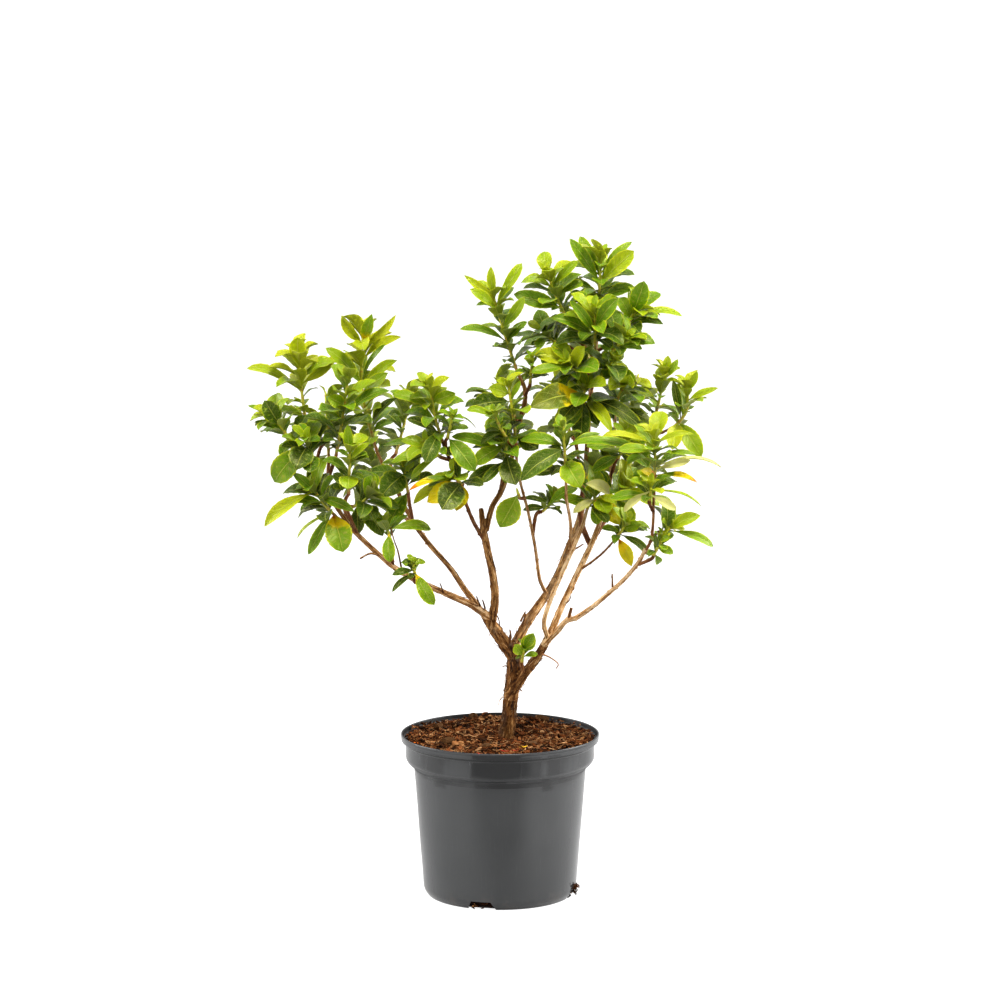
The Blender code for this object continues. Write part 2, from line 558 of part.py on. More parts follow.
def make_compost(finish):
    inside = [(radius - GAP, height + GAP) for radius, height in pot_inside()]
    fill_radius = inside[0][0]
    sides = COMPOST_SIDES
    turns = [math.tau * i / sides for i in range(sides)]
    verts = [(0, 0, compost_height(0, 0))]
    rings = [(fill_radius * share, None) for share in COMPOST_RINGS]
    rings += [(fill_radius, COMPOST_TOP - 2 * MM)] + inside
    for radius, height in rings:
        for turn in turns:
            x, y = radius * math.cos(turn), radius * math.sin(turn)
            verts.append((x, y, compost_height(x, y) if height is None else height))
    faces = [(0, 1 + i, 1 + (i + 1) % sides) for i in range(sides)]
    for ring in range(len(rings) - 1):
        a = 1 + ring * sides
        faces += [(a + i, a + sides + i, a + sides + (i + 1) % sides, a + (i + 1) % sides) for i in range(sides)]
    last = 1 + (len(rings) - 1) * sides
    faces.append(tuple(last + i for i in range(sides)))
    compost = mesh_object("compost", verts, faces, finish)
    fuse(compost, [chip for chip in map(bark_chip, range(CHIP_COUNT)) if chip], "MANIFOLD")
    cut(compost, stem_hole())
    shade_round(compost, 50)


def bark_chip(index):
    """A flat splinter of bark that lies half sunk in the compost, or nothing where the trunk stands."""
    draw = random.Random(700 + index)
    reach = RIM_DIAMETER / 2 - LIP_STEP - 14 * MM
    radius = reach * math.sqrt((index + 0.5) / CHIP_COUNT) * 0.98 + 2 * MM
    turn = math.radians(GOLDEN_ANGLE) * index
    x, y = radius * math.cos(turn), radius * math.sin(turn)
    length = draw.uniform(*CHIP_LENGTH)
    foot = seen(LIMBS["trunk"][0])
    if math.hypot(x - foot.x, y - foot.y) < length / 2 + TRUNK_CLEARING:
        return None
    width = length * draw.uniform(0.28, 0.5)
    thick = draw.uniform(1.8, 3.2) * MM
    place = (
        Matrix.Translation((x, y, compost_height(x, y) + thick * 0.3))
        @ Matrix.Rotation(draw.uniform(0, math.tau), 4, "Z")
        @ Matrix.Rotation(draw.uniform(-0.3, 0.3), 4, "X")
        @ Matrix.Rotation(draw.uniform(-0.25, 0.25), 4, "Y")
    )
    narrow = draw.uniform(0.35, 0.8)
    corners = [
        (-length / 2, -width / 2), (length / 2, -width / 2 * narrow), (length / 2, width / 2 * narrow), (-length / 2, width / 2)
    ]
    verts = [place @ Vector((cx, cy, cz)) for cz in (-thick, thick / 2) for cx, cy in corners]
    faces = [(0, 1, 2, 3), (4, 5, 6, 7)] + [(i, (i + 1) % 4, (i + 1) % 4 + 4, i + 4) for i in range(4)]
    return mesh_object("bark chip", verts, faces)


def stem_hole():
    """A plain hole for the foot of the trunk."""
    foot = seen(LIMBS["trunk"][0])
    radius = LIMBS["trunk"][2][3] / 2 * UNIT + 2 * GAP
    bottom = foot.z - GAP
    top = POT_HEIGHT + 20 * MM
    turns = [math.tau * i / 16 for i in range(16)]
    verts = [(foot.x + radius * math.cos(a), foot.y + radius * math.sin(a), z) for z in (bottom, top) for a in turns]
    faces = [tuple(range(16)), tuple(range(16, 32))] + [(i, (i + 1) % 16, (i + 1) % 16 + 16, i + 16) for i in range(16)]
    return mesh_object("stem hole", verts, faces)


# Wood

def frames_along(points, first_way):
    """A side direction at each point of a route, carried along it without twisting."""
    tangents = [
        (points[min(i + 1, len(points) - 1)] - points[max(i - 1, 0)]).normalized() for i in range(len(points))
    ]
    if first_way:
        tangents[0] = first_way
    side = tangents[0].orthogonal().normalized()
    sides = []
    for tangent in tangents:
        side = (side - tangent * side.dot(tangent)).normalized()
        sides.append(side.copy())
    return tangents, sides


def tube(points, radii, count, first_way=None):
    """Vertices and faces of a closed tube along a route. Its flat first end can face a way of its own."""
    tangents, sides = frames_along(points, first_way)
    verts = []
    for point, radius, tangent, side in zip(points, radii, tangents, sides):
        other = tangent.cross(side)
        for i in range(count):
            turn = math.tau * i / count
            verts.append(point + (side * math.cos(turn) + other * math.sin(turn)) * radius)
    faces = [tuple(range(count)), tuple(range(len(verts) - count, len(verts)))]
    for ring in range(len(points) - 1):
        a = ring * count
        faces += [(a + i, a + (i + 1) % count, a + count + (i + 1) % count, a + count + i) for i in range(count)]
    return verts, faces


def limb_sides(thickness):
    """Thick limbs are rounder."""
    return 8 if thickness > 10 else 6 if thickness > 5 else 4


def limb_tube(route):
    points = [seen(point) for point in route]
    radii = [point[3] / 2 * UNIT for point in route]
    return tube(points, radii, limb_sides(route[0][3]))


def fork_point(limb, base):
    """Where a twig leaves its limb: near its end, but at an acute angle."""
    points = [seen(point) for point in LIMBS[limb]]
    best = None
    for start, end in zip(points, points[1:]):
        along = (end - start).normalized()
        for step in range(5):
            fork = start.lerp(end, step / 5)
            way = base - fork
            cost = way.length * (1 + 2.2 * (1 - along.dot(way.normalized())))
            if best is None or cost < best[0]:
                best = (cost, fork, along)
    return best[1], best[2]


def shoot_line(name):
    """The stations of a shoot's own stem: its foot, its middle and its tip."""
    shoot = SHOOTS[name]
    base = seen(LIMBS[shoot["limb"]][-1] if shoot.get("ends_limb") else shoot["base"])
    tip = seen(shoot["tip"])
    if "via" in shoot:
        return base, seen(shoot["via"]), tip
    sag = Vector((0, 0, -0.05)) * (tip - base).length
    if shoot.get("ends_limb"):
        sag = (foot_way(name) - (tip - base).normalized()) * (tip - base).length * 0.2
    return base, base.lerp(tip, 0.5) + sag, tip


def foot_way(name):
    """The way that the foot of a shoot's stem points, in line with the wood that carries it."""
    shoot = SHOOTS[name]
    if shoot.get("ends_limb"):
        before, end = LIMBS[shoot["limb"]][-2:]
        return (seen(end) - seen(before)).normalized()
    base, middle, _ = shoot_line(name)
    return (middle - base).normalized()


def stem_point(stem, share):
    """A point on the stem, which runs straight from station to station."""
    base, middle, tip = stem
    return base.lerp(middle, share * 2) if share < 0.5 else middle.lerp(tip, share * 2 - 1)


def twig_tube(name):
    """The woody twig from a limb to the foot of a shoot, or nothing where the shoot ends a limb."""
    shoot = SHOOTS[name]
    if shoot.get("ends_limb"):
        return None
    base = shoot_line(name)[0]
    fork, along = fork_point(shoot["limb"], base)
    reach = (base - fork).length
    approach = base - foot_way(name) * reach * 0.3 + along * reach * 0.08
    return tube([fork, approach, base], [TWIG_RADIUS, TWIG_RADIUS, STEM_RADIUS], TWIG_SIDES)


def make_wood(finish):
    trunk = mesh_object("trunk_and_branches", *limb_tube(LIMBS["trunk"]), finish)
    pieces = [mesh_object(name, *limb_tube(route)) for name, route in LIMBS.items() if name != "trunk"]
    for name in SHOOTS:
        twig = twig_tube(name)
        if twig:
            pieces.append(mesh_object("twig " + name, *twig))
    fuse(trunk, pieces, "MANIFOLD")
    shade_round(trunk)


# Leaves

class Blade:
    """A leaf by its root, its tip, the way its face looks, its width and how far it arches."""

    def __init__(self, root, tip, facing, width, arch):
        self.root = root
        self.tip = tip
        self.length = (tip - root).length
        self.along = (tip - root).normalized()
        upright = facing - self.along * facing.dot(self.along)
        self.up = upright.normalized()
        self.side = self.along.cross(self.up)
        self.width = width
        self.arch = arch

    def spine(self, share):
        """A point of the midrib, which bows up between root and tip."""
        return self.root + self.along * self.length * share + self.up * self.arch * 4 * share * (1 - share)

    def crosses_opening(self):
        """Whether the blade would cover a place where the sky shows through."""
        for step in range(3, 11):
            across, up = seen_from_front(self.spine(step / 10))
            margin = self.width / UNIT * 0.3
            if any(math.hypot(across - x, up - z) < radius + margin for x, z, radius in OPENINGS):
                return True
        return False

    def solid(self, grow=0.0, first=0.0):
        """Vertices and faces: a keeled blade with one or two cross-sections between root and point."""
        full = self.length > LARGE_LEAF
        sections = [(first, 0.0), (0.56, 1.0), (0.84, 0.74)] if full else [(first, 0.0), (0.62, 1.0)]
        verts = []
        for share, spread in sections:
            middle = self.spine(share)
            half = max(ROOT_HALF_WIDTH, self.width / 2 * spread) + grow
            thick = (BLADE_THICKNESS if spread else ROOT_THICKNESS) / 2 + grow
            lift = self.up * (thick + half * 0.14 * spread)
            verts += [middle + self.side * half + lift, middle - self.side * half + lift, middle - self.up * thick]
        verts.append(self.tip + self.along * grow)
        faces = [(0, 1, 2)]
        for ring in range(len(sections) - 1):
            a = ring * 3
            for i in range(3):
                b = (i + 1) % 3
                faces += [(a + i, a + b, a + 3 + b), (a + i, a + 3 + b, a + 3 + i)]
        last = (len(sections) - 1) * 3
        faces += [(last + i, last + (i + 1) % 3, len(verts) - 1) for i in range(3)]
        return verts, faces


def picked_blade(stem, pick):
    """A leaf whose tip, width and look were read from the front."""
    place, tip, width, look = pick
    root = stem_point(stem, place)
    target = seen(tip)
    facing = Vector((0, -math.sin(math.radians(look)), math.cos(math.radians(look))))
    return root, target, facing, width * UNIT, (target - root).length * 0.09


def ruled_blade(stem, shoot, rank, count, draw):
    """A leaf on the spiral of the stem: wide and level below, short and upright at the tip."""
    share = (rank + 0.35) / count
    place = 0.12 + 0.86 * share**0.85
    root = stem_point(stem, place)
    axis = (stem_point(stem, min(1, place + 0.05)) - stem_point(stem, place - 0.05)).normalized()
    side = axis.orthogonal().normalized()
    turn = math.radians(GOLDEN_ANGLE * rank + draw.uniform(-16, 16))
    outward = Matrix.Rotation(turn, 3, axis) @ side
    opening = math.radians(84 - 54 * share**1.3 + draw.uniform(-9, 9))
    heading = axis * math.cos(opening) + outward * math.sin(opening)
    length = shoot["blade"] * UNIT * (1.26 - 0.42 * share**2.2) * draw.uniform(0.88, 1.12)
    width = length * draw.uniform(0.48, 0.6)
    facing = axis * 0.8 + Vector((0, -0.25, 0.7)) + Vector((draw.uniform(-0.3, 0.3), draw.uniform(-0.3, 0.3), 0))
    return root, root + heading * length, facing, width, length * draw.uniform(0.04, 0.11)


def tree_of(solid):
    return BVHTree.FromPolygons(solid[0], solid[1])


class Crown:
    """The leaves placed so far and the wood between them, to keep new leaves clear."""

    def __init__(self):
        self.wood = [tree_of(limb_tube(route)) for route in LIMBS.values()]
        self.wood += [tree_of(twig) for twig in map(twig_tube, SHOOTS) if twig]
        self.stems = {name: tree_of(stem_tube(name)) for name in SHOOTS}
        self.blades = []

    def is_free(self, blade, owner):
        """Whether a blade clears the wood and the other shoots, and crosses no leaf of its own shoot."""
        whole = tree_of(blade.solid(grow=CLEARANCE))
        if any(whole.overlap(other) for other in self.wood):
            return False
        if any(whole.overlap(other) for name, other in self.stems.items() if name != owner):
            return False
        open_part = tree_of(blade.solid(first=LEAF_STALK))
        centre = blade.spine(0.5)
        for name, other_centre, reach, other_whole, other_open in self.blades:
            if (other_centre - centre).length > reach + blade.length * 0.6:
                continue
            if open_part.overlap(other_open) if name == owner else whole.overlap(other_whole):
                return False
        return True

    def place(self, owner, root, tip, facing, width, arch, open_sky):
        """The blade as given or, where it would cross another, turned, lifted or shortened until it is clear."""
        axis = shoot_line(owner)[2] - shoot_line(owner)[0]
        for shorten in (1.0, 0.86, 0.74, 0.62):
            for lift in (0, 9, -9, 18, -18, 27, -27):
                for turn in (0, 9, -9, 18, -18, 28, -28, 40, -40):
                    way = (tip - root) * shorten
                    hinge = axis.cross(way).normalized()
                    way = Matrix.Rotation(math.radians(turn), 3, axis) @ Matrix.Rotation(math.radians(lift), 3, hinge) @ way
                    blade = Blade(root, root + way, facing, width * shorten, arch * shorten)
                    if open_sky and blade.crosses_opening():
                        continue
                    if self.is_free(blade, owner):
                        self.keep(blade, owner)
                        return blade
        return None

    def keep(self, blade, owner):
        trees = tree_of(blade.solid()), tree_of(blade.solid(first=LEAF_STALK))
        self.blades.append((owner, blade.spine(0.5), blade.length * 0.6, *trees))


def stem_tube(name):
    """The green stem of a shoot. It starts a gap away from the wood that carries it."""
    base, middle, tip = shoot_line(name)
    way = foot_way(name)
    radii = [STEM_RADIUS, (STEM_RADIUS + STEM_TIP_RADIUS) / 2, STEM_TIP_RADIUS]
    return tube([base + way * GAP, middle, tip], radii, STEM_SIDES, way)


def make_shoots(finish):
    """Every shoot in one piece with its leaves: all the picked leaves find their places before the spirals."""
    crown = Crown()
    blades = {}
    for name, shoot in SHOOTS.items():
        wanted = [picked_blade(shoot_line(name), pick) for pick in shoot.get("picks", [])]
        blades[name] = [crown.place(name, *blade, open_sky=False) for blade in wanted]
    for index, (name, shoot) in enumerate(SHOOTS.items()):
        draw = random.Random(40 + index)
        stem = shoot_line(name)
        count = max(0, shoot["leaves"] - len(blades[name]))
        wanted = [ruled_blade(stem, shoot, rank, count, draw) for rank in range(count)]
        blades[name] += [crown.place(name, *blade, open_sky=True) for blade in wanted]
    for name in SHOOTS:
        stem = mesh_object("shoot_" + name, *stem_tube(name), finish, shoot_line(name)[0])
        fuse(stem, [mesh_object("leaf", *blade.solid()) for blade in blades[name] if blade])


def main():
    clear_scene()
    make_pot()
    make_compost(material("bark compost", (0.16, 0.075, 0.035), 0.9))
    make_wood(material("brown bark", (0.23, 0.12, 0.06), 0.85))
    make_shoots(material("escallonia leaf", (0.1, 0.26, 0.03), 0.45))


main()
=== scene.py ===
import itertools
import math
import random
import re

import bmesh
import bpy
import numpy as np
from mathutils import Matrix, Vector
from mathutils.bvhtree import BVHTree
from mathutils.kdtree import KDTree


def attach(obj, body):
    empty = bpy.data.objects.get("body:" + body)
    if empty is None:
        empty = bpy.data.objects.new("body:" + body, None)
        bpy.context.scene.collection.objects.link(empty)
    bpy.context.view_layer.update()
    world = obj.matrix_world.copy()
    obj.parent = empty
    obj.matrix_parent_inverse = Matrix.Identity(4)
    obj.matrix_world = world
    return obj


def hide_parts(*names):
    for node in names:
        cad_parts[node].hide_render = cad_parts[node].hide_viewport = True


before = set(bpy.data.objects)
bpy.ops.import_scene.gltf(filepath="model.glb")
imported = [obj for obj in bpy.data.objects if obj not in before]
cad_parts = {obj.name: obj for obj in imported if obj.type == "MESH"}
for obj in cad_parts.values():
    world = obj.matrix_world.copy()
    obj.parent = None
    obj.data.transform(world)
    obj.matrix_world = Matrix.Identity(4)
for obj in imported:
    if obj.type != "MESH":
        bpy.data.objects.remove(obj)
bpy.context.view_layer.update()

mm = 0.001
goldenAngle = 137.5
# where each run of random draws starts; shoots and limbs count on from theirs
seeds = dict(
    compost=21, bark=5, knots=9, flakes=33, twigs=40, spiral=40, hues=400, rosette=800, fill=900, leaves=1200,
)

# Where the viewer stands. The lens gives the same frame as the picture that the shrub is built from.
viewer = dict(distance=4.0, aimHeight=0.383, elevation=9.1, lens=151.6)

# The shrub's routes are given as seen from the front: (across, up, back), in two-hundredths of the rim
sight = dict(unit=0.95 * mm, stretch=1.018, depth=1.35, fall=0.13)


def seen(point):
    across, up, back = point[0], point[1], point[2] * sight["depth"]
    return Vector((across, back, up * sight["stretch"] - back * sight["fall"])) * sight["unit"]


# Ways of making meshes

def writeMarks(mesh, marks):
    # named vectors that the points carry
    for mark, values in marks.items():
        layer = mesh.attributes.new(mark, "FLOAT_VECTOR", "POINT")
        layer.data.foreach_set("vector", np.asarray(values, np.float32).ravel())


def smoothShade(mesh, sharp):
    mesh.shade_smooth()
    mesh.set_sharp_from_angle(angle=math.radians(sharp))


def addPiece(name, verts, faces, finishes, picks=None, marks=None, sharp=50):
    # one mesh object; picks gives each face its finish
    mesh = bpy.data.meshes.new(name)
    mesh.from_pydata([tuple(v) for v in verts], [], [tuple(f) for f in faces])
    for finish in finishes:
        mesh.materials.append(finish)
    if picks is not None:
        mesh.polygons.foreach_set("material_index", np.asarray(picks, np.int32))
    writeMarks(mesh, marks or {})
    smoothShade(mesh, sharp)
    return addObject(name, mesh)


def addObject(name, data):
    made = bpy.data.objects.new(name, data)
    bpy.context.scene.collection.objects.link(made)
    return made


def settle(piece, slot, *nodes):
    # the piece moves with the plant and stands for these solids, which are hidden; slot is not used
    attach(piece, "root")
    if nodes:
        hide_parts(*nodes)
    return piece


def applyModifiers(piece):
    bpy.context.view_layer.update()
    graph = bpy.context.evaluated_depsgraph_get()
    finished = bpy.data.meshes.new_from_object(piece.evaluated_get(graph), depsgraph=graph)
    piece.modifiers.clear()
    piece.data = finished


def lumps(points, size, seed=0):
    # smooth random relief in space, from -1 to 1, with lumps of about this size
    place = np.asarray(points, float) / size + seed * 17.31
    corner = np.floor(place).astype(np.int64)
    share = place - corner
    share = share * share * (3 - 2 * share)
    total = np.zeros(len(place))
    for dx in (0, 1):
        for dy in (0, 1):
            for dz in (0, 1):
                step = np.array([dx, dy, dz])
                x, y, z = (corner + step).T
                mixed = (x * 73856093 ^ y * 19349663 ^ z * 83492791) & 0x7FFFFFFF
                mixed = (mixed * 1103515245 + 12345) & 0x7FFFFFFF
                value = (mixed ^ (mixed >> 13)) % 10007 / 5003.5 - 1
                total += value * np.abs(1 - step - share).prod(axis=1)
    return total


def ringFaces(rings, around):
    # quads between rings of points, with the two ends closed
    ring, place = np.meshgrid(np.arange(rings - 1), np.arange(around), indexing="ij")
    a = (ring * around + place).ravel()
    b = (ring * around + (place + 1) % around).ravel()
    faces = np.stack([a, b, b + around, a + around], axis=1).tolist()
    return faces + [list(range(around))[::-1], list(range((rings - 1) * around, rings * around))]


def smoothRoute(points, radii, step):
    # a smooth curve through the points, with a place about every step along it
    route, thickness = [], []
    last = len(points) - 1
    for i in range(last):
        before, start, end, after = points[max(i - 1, 0)], points[i], points[i + 1], points[min(i + 2, last)]
        count = max(2, round((end - start).length / step))
        for k in range(count):
            t = k / count
            slopeIn, slopeOut = (end - before) * 0.5, (after - start) * 0.5
            route.append(
                start * (2 * t**3 - 3 * t**2 + 1) + slopeIn * (t**3 - 2 * t**2 + t)
                + end * (3 * t**2 - 2 * t**3) + slopeOut * (t**3 - t**2)
            )
            thickness.append(radii[i] * (1 - t) + radii[i + 1] * t)
    return route + [points[-1]], thickness + [radii[-1]]


def framesAlong(points, firstWay=None):
    # a side direction at each point of a route, carried along it without twisting
    last = len(points) - 1
    tangents = [(points[min(i + 1, last)] - points[max(i - 1, 0)]).normalized() for i in range(last + 1)]
    if firstWay:
        tangents[0] = firstWay
    side = tangents[0].orthogonal().normalized()
    sides = []
    for tangent in tangents:
        side = (side - tangent * side.dot(tangent)).normalized()
        sides.append(side.copy())
    return tangents, sides


class Rod:
    # a round stem along a smooth route; its points know where they are on it, for bark and skin

    def __init__(self, points, radii, around, step, firstWay=None):
        self.route, radii = smoothRoute(points, radii, step)
        self.tangents, self.sides = framesAlong(self.route, firstWay)
        self.radii = np.array(radii)
        self.around = around
        centre, side, along = (np.array(rows) for rows in (self.route, self.sides, self.tangents))
        turn = np.linspace(0, math.tau, around, endpoint=False)
        cos, sin = np.cos(turn), np.sin(turn)
        self.outward = side[:, None] * cos[:, None] + np.cross(along, side)[:, None] * sin[:, None]
        self.centre = centre
        self.run = np.concatenate([[0], np.cumsum(np.linalg.norm(np.diff(centre, axis=0), axis=1))])
        rows = np.ones((len(centre), 1))
        self.place = np.stack([rows * cos, rows * sin, self.run[:, None] + 0 * turn], axis=2)

    def verts(self, relief=None):
        radius = self.radii[:, None] * np.ones(self.around)
        if relief is not None:
            radius = radius + relief
        return (self.centre[:, None] + self.outward * radius[:, :, None]).reshape(-1, 3)

    def faces(self):
        return ringFaces(len(self.centre), self.around)


class Heap:
    # gathers many small closed shapes into one mesh

    def __init__(self):
        self.verts, self.faces, self.picks, self.marks, self.count = [], [], [], {}, 0

    def add(self, verts, faces, picks=0, **marks):
        verts = np.asarray(verts, float)
        self.verts.append(verts)
        self.faces += [[i + self.count for i in face] for face in faces]
        self.picks += list(picks) if hasattr(picks, "__len__") else [picks] * len(faces)
        for mark, values in marks.items():
            values = np.asarray(values, float)
            if values.ndim == 1:
                values = np.tile(values, (len(verts), 1))
            self.marks.setdefault(mark, []).append(values)
        self.count += len(verts)

    def piece(self, name, finishes, sharp=50):
        marks = {mark: np.concatenate(rows) for mark, rows in self.marks.items()}
        return addPiece(name, np.concatenate(self.verts), self.faces, finishes, self.picks, marks, sharp)


# Ways of making finishes

class Nodes:
    # short ways to add nodes to a tree

    def __init__(self, tree):
        self.tree = tree

    def node(self, kind, plugs, **settings):
        made = self.tree.nodes.new("ShaderNode" + kind)
        for key, value in settings.items():
            setattr(made, key, value)
        for socket, value in plugs.items():
            if isinstance(value, bpy.types.NodeSocket):
                self.tree.links.new(value, made.inputs[socket])
            else:
                made.inputs[socket].default_value = value
        return made

    def math(self, kind, *values):
        return self.node("Math", dict(enumerate(values)), operation=kind).outputs[0]

    def times(self, value, by, plus=None):
        return self.math("MULTIPLY", value, by) if plus is None else self.math("MULTIPLY_ADD", value, by, plus)

    def less(self, value, by):
        return self.math("SUBTRACT", value, by)

    def absolute(self, value):
        return self.math("ABSOLUTE", value)

    def band(self, value, low, high, toLow=0.0, toHigh=1.0):
        plugs = {"Value": value, "From Min": low, "From Max": high, "To Min": toLow, "To Max": toHigh}
        return self.node("MapRange", plugs, interpolation_type="SMOOTHSTEP").outputs["Result"]

    def span(self, value, rise, fall):
        # 1 between two slopes, each given as (where it is 0, where it is 1)
        return self.times(self.band(value, *rise), self.band(value, *fall))

    def mix(self, share, first, second):
        return self.node("Mix", {0: share, 6: rgb(first), 7: rgb(second)}, data_type="RGBA").outputs[2]

    def noise(self, where, scale, detail=3.0, roughness=0.55):
        plugs = {"Vector": where, "Scale": scale, "Detail": detail, "Roughness": roughness}
        return self.node("TexNoise", plugs).outputs["Fac"]

    def stretch(self, where, scale, move=(0, 0, 0)):
        return self.node("Mapping", {"Vector": where, "Scale": scale, "Location": move}).outputs["Vector"]

    def streaks(self, where, squash, *noise, move=(0, 0, 0)):
        # noise drawn out along the third way
        return self.noise(self.stretch(where, (1, 1, squash), move), *noise)

    def parts(self, whole):
        return self.node("SeparateXYZ", {0: whole}).outputs

    def space(self):
        return self.node("TexCoord", {}).outputs["Object"]

    def mark(self, name):
        # the vector that the mesh carries under this name
        return self.node("Attribute", {}, attribute_name=name).outputs["Vector"]


class Finish(Nodes):
    # one material; its colour is built up coat by coat

    def __init__(self, name, **plain):
        self.made = bpy.data.materials.new(name)
        self.made.use_nodes = True
        super().__init__(self.made.node_tree)
        self.shader = self.tree.nodes["Principled BSDF"]
        for socket, value in plain.items():
            self.shader.inputs[socket.replace("_", " ")].default_value = value
        self.colour = None

    def ramp(self, share, *stops):
        made = self.node("ValToRGB", {"Fac": share})
        places = made.color_ramp.elements
        while len(places) < len(stops):
            places.new(0.5)
        for element, (place, colour) in zip(places, stops):
            element.position, element.color = place, rgb(colour)
        self.colour = made.outputs["Color"]

    def coat(self, share, colour):
        self.colour = self.mix(share, self.colour, colour)

    def bump(self, height, distance, strength=1.0, under=None):
        plugs = {"Height": height, "Distance": distance, "Strength": strength}
        if under:
            plugs["Normal"] = under
        return self.node("Bump", plugs).outputs["Normal"]

    def done(self, **sockets):
        sockets["Base_Color"] = self.colour
        for socket, value in sockets.items():
            self.tree.links.new(value, self.shader.inputs[socket.replace("_", " ")])
        return self.made


def rgb(colour):
    # screen colours from 0 to 255 become the linear values that a shader takes
    if isinstance(colour, bpy.types.NodeSocket):
        return colour
    linear = [c / 255 / 12.92 if c / 255 <= 0.04045 else ((c / 255 + 0.055) / 1.055) ** 2.4 for c in colour]
    return (*linear, 1)


# The pot

pot = dict(
    rim=95 * mm, height=157 * mm, wall=1.8 * mm, floor=2.2 * mm, lipHeight=6.5 * mm, lipStep=4.8 * mm,
    bandHeight=22.5 * mm, bandStep=7.8 * mm, shoulderRise=4.6 * mm, footRadius=73.3 * mm, footCorner=6 * mm,
    segments=200, ringDrop=2.2 * mm, ringStep=0.8 * mm, warp=0.35 * mm, warpSize=45 * mm,
    notches=4, firstNotch=-14.5, notchTop=19 * mm, notchFoot=28 * mm, notchHeight=8.5 * mm, notchDepth=12 * mm,
    # the last colour on the next line paints dark reflections and shadow lines, the first colour on the line
    # after paints shade inside the rim
    sharp=32, colour=(58, 59, 60), shade=(50, 51, 52), scuff=(104, 106, 108), paintedDark=(12, 12, 14),
    inside=(6, 6, 7), dust=(104, 92, 80),
    # heights in the finish, as (where a slope is 0, where it is 1); the second pair bounds the painted dark
    # reflections, and the heights and radius on the next line the painted shade inside the rim
    scuffed=(0.124, 0.132), darkReflectionHeights=[(0.112, 0.132), (0.153, 0.15)], rubbed=[(0.1225, 0.125), (0.1325, 0.1305)],
    insideShadeHeights=(0.146, 0.15), insideShadeRadius=(0.0946, 0.094), dusty=(0.02, 0.0), facesViewer=(0.0, -0.03),
    # painted shadow lines, from and to in height: in the lip, under it and under the shoulder
    shadowLines=[(0.1541, 0.1556), (0.1476, 0.1502), (0.1205, 0.1262)], shadowLineEdge=0.6 * mm,
    # patches of painted dark reflection, on the side that faces the viewer: from and to across, from and to in
    # height (mm), and how dark
    darkReflectionPatches=[
        (-26, 20, 130, 155, 1.0), (19, 40, 131, 153, 0.85), (44, 57, 131, 153, 0.8), (40, 50, 116, 129, 0.9),
        (-70, -55, 127, 149, 0.7), (-62, -52, 117, 127, 0.7), (-24, 6, 121, 129, 0.7),
    ],
    reflectionPatchEdge=2 * mm,
)


def plasticFinish():
    finish = Finish("potPlastic", Roughness=0.3, IOR=1.52)
    where = finish.space()
    x, y, z = finish.parts(where)
    finish.colour = finish.mix(finish.band(finish.noise(where, 11, 2), 0.35, 0.7), pot["colour"], pot["shade"])
    # fine upright drag marks from the mould, and scuffs on the band and lip
    drag = finish.streaks(where, 0.03, 520, 2)
    finish.coat(finish.band(drag, 0.55, 0.85, 0, 0.05), pot["scuff"])
    scratch = finish.streaks(where, 0.2, 95, 5, 0.7)
    scuffs = finish.times(finish.band(scratch, 0.6, 0.68), finish.band(z, *pot["scuffed"]))
    finish.coat(finish.times(scuffs, 0.35), pot["scuff"])
    # painted dark reflections cross the band and hang under it; the listed patches are on the side that faces
    # the viewer only
    paintedDark = finish.streaks(where, 0.22, 21, 3, move=(0.004, 0, 0))
    paintedDark = finish.times(finish.band(paintedDark, 0.52, 0.7), finish.span(z, *pot["darkReflectionHeights"]))
    ragged = finish.times(finish.streaks(where, 0.3, 110, 3), 0.008, finish.less(x, 0.004))
    front, soft = finish.band(y, *pot["facesViewer"]), pot["reflectionPatchEdge"]
    for left, right, low, high, dark in pot["darkReflectionPatches"]:
        left, right, low, high = left * mm, right * mm, low * mm, high * mm
        patch = finish.span(ragged, (left - soft, left + soft), (right + soft, right - soft))
        tall = finish.span(z, (low - soft, low + soft), (high + soft / 2, high - soft / 2))
        patch = finish.times(finish.times(patch, tall), finish.times(front, dark))
        paintedDark = finish.math("MAXIMUM", paintedDark, patch)
    finish.coat(finish.times(paintedDark, 0.95), pot["paintedDark"])
    # painted shadow lines, patchy, in the lip, under it and under the shoulder
    patchy, thin = finish.band(finish.streaks(where, 0.1, 30, 3), 0.4, 0.56, 0.3, 0.95), pot["shadowLineEdge"]
    for low, high in pot["shadowLines"]:
        line = finish.span(z, (low, low + thin), (high, high - thin))
        finish.coat(finish.times(line, patchy), pot["paintedDark"])
    # painted shade darkens the inside of the rim, and dust settles at the foot
    level = finish.stretch(where, (1, 1, 0))
    radius = finish.node("VectorMath", {0: level}, operation="LENGTH").outputs["Value"]
    insideShadeMask = finish.times(finish.band(radius, *pot["insideShadeRadius"]), finish.band(z, *pot["insideShadeHeights"]))
    finish.coat(finish.times(insideShadeMask, 0.9), pot["inside"])
    dust = finish.times(finish.band(z, *pot["dusty"]), finish.band(finish.noise(where, 60, 4), 0.45, 0.7))
    finish.coat(finish.times(dust, 0.3), pot["dust"])
    # the painted dark reflections are glossy; the painted shade inside the rim, the scuffs and the corner under
    # the band are dull
    rough = finish.times(finish.noise(where, 60, 3), 0.08, 0.13)
    for share, change in ((paintedDark, -0.1), (insideShadeMask, 0.3), (finish.span(z, *pot["rubbed"]), 0.34), (scuffs, 0.14)):
        rough = finish.times(share, change, rough)
    grain = finish.bump(finish.noise(where, 1100, 2), 0.00002, 0.6)
    return finish.done(Roughness=rough, Normal=finish.bump(drag, 0.00003, 0.6, grain))


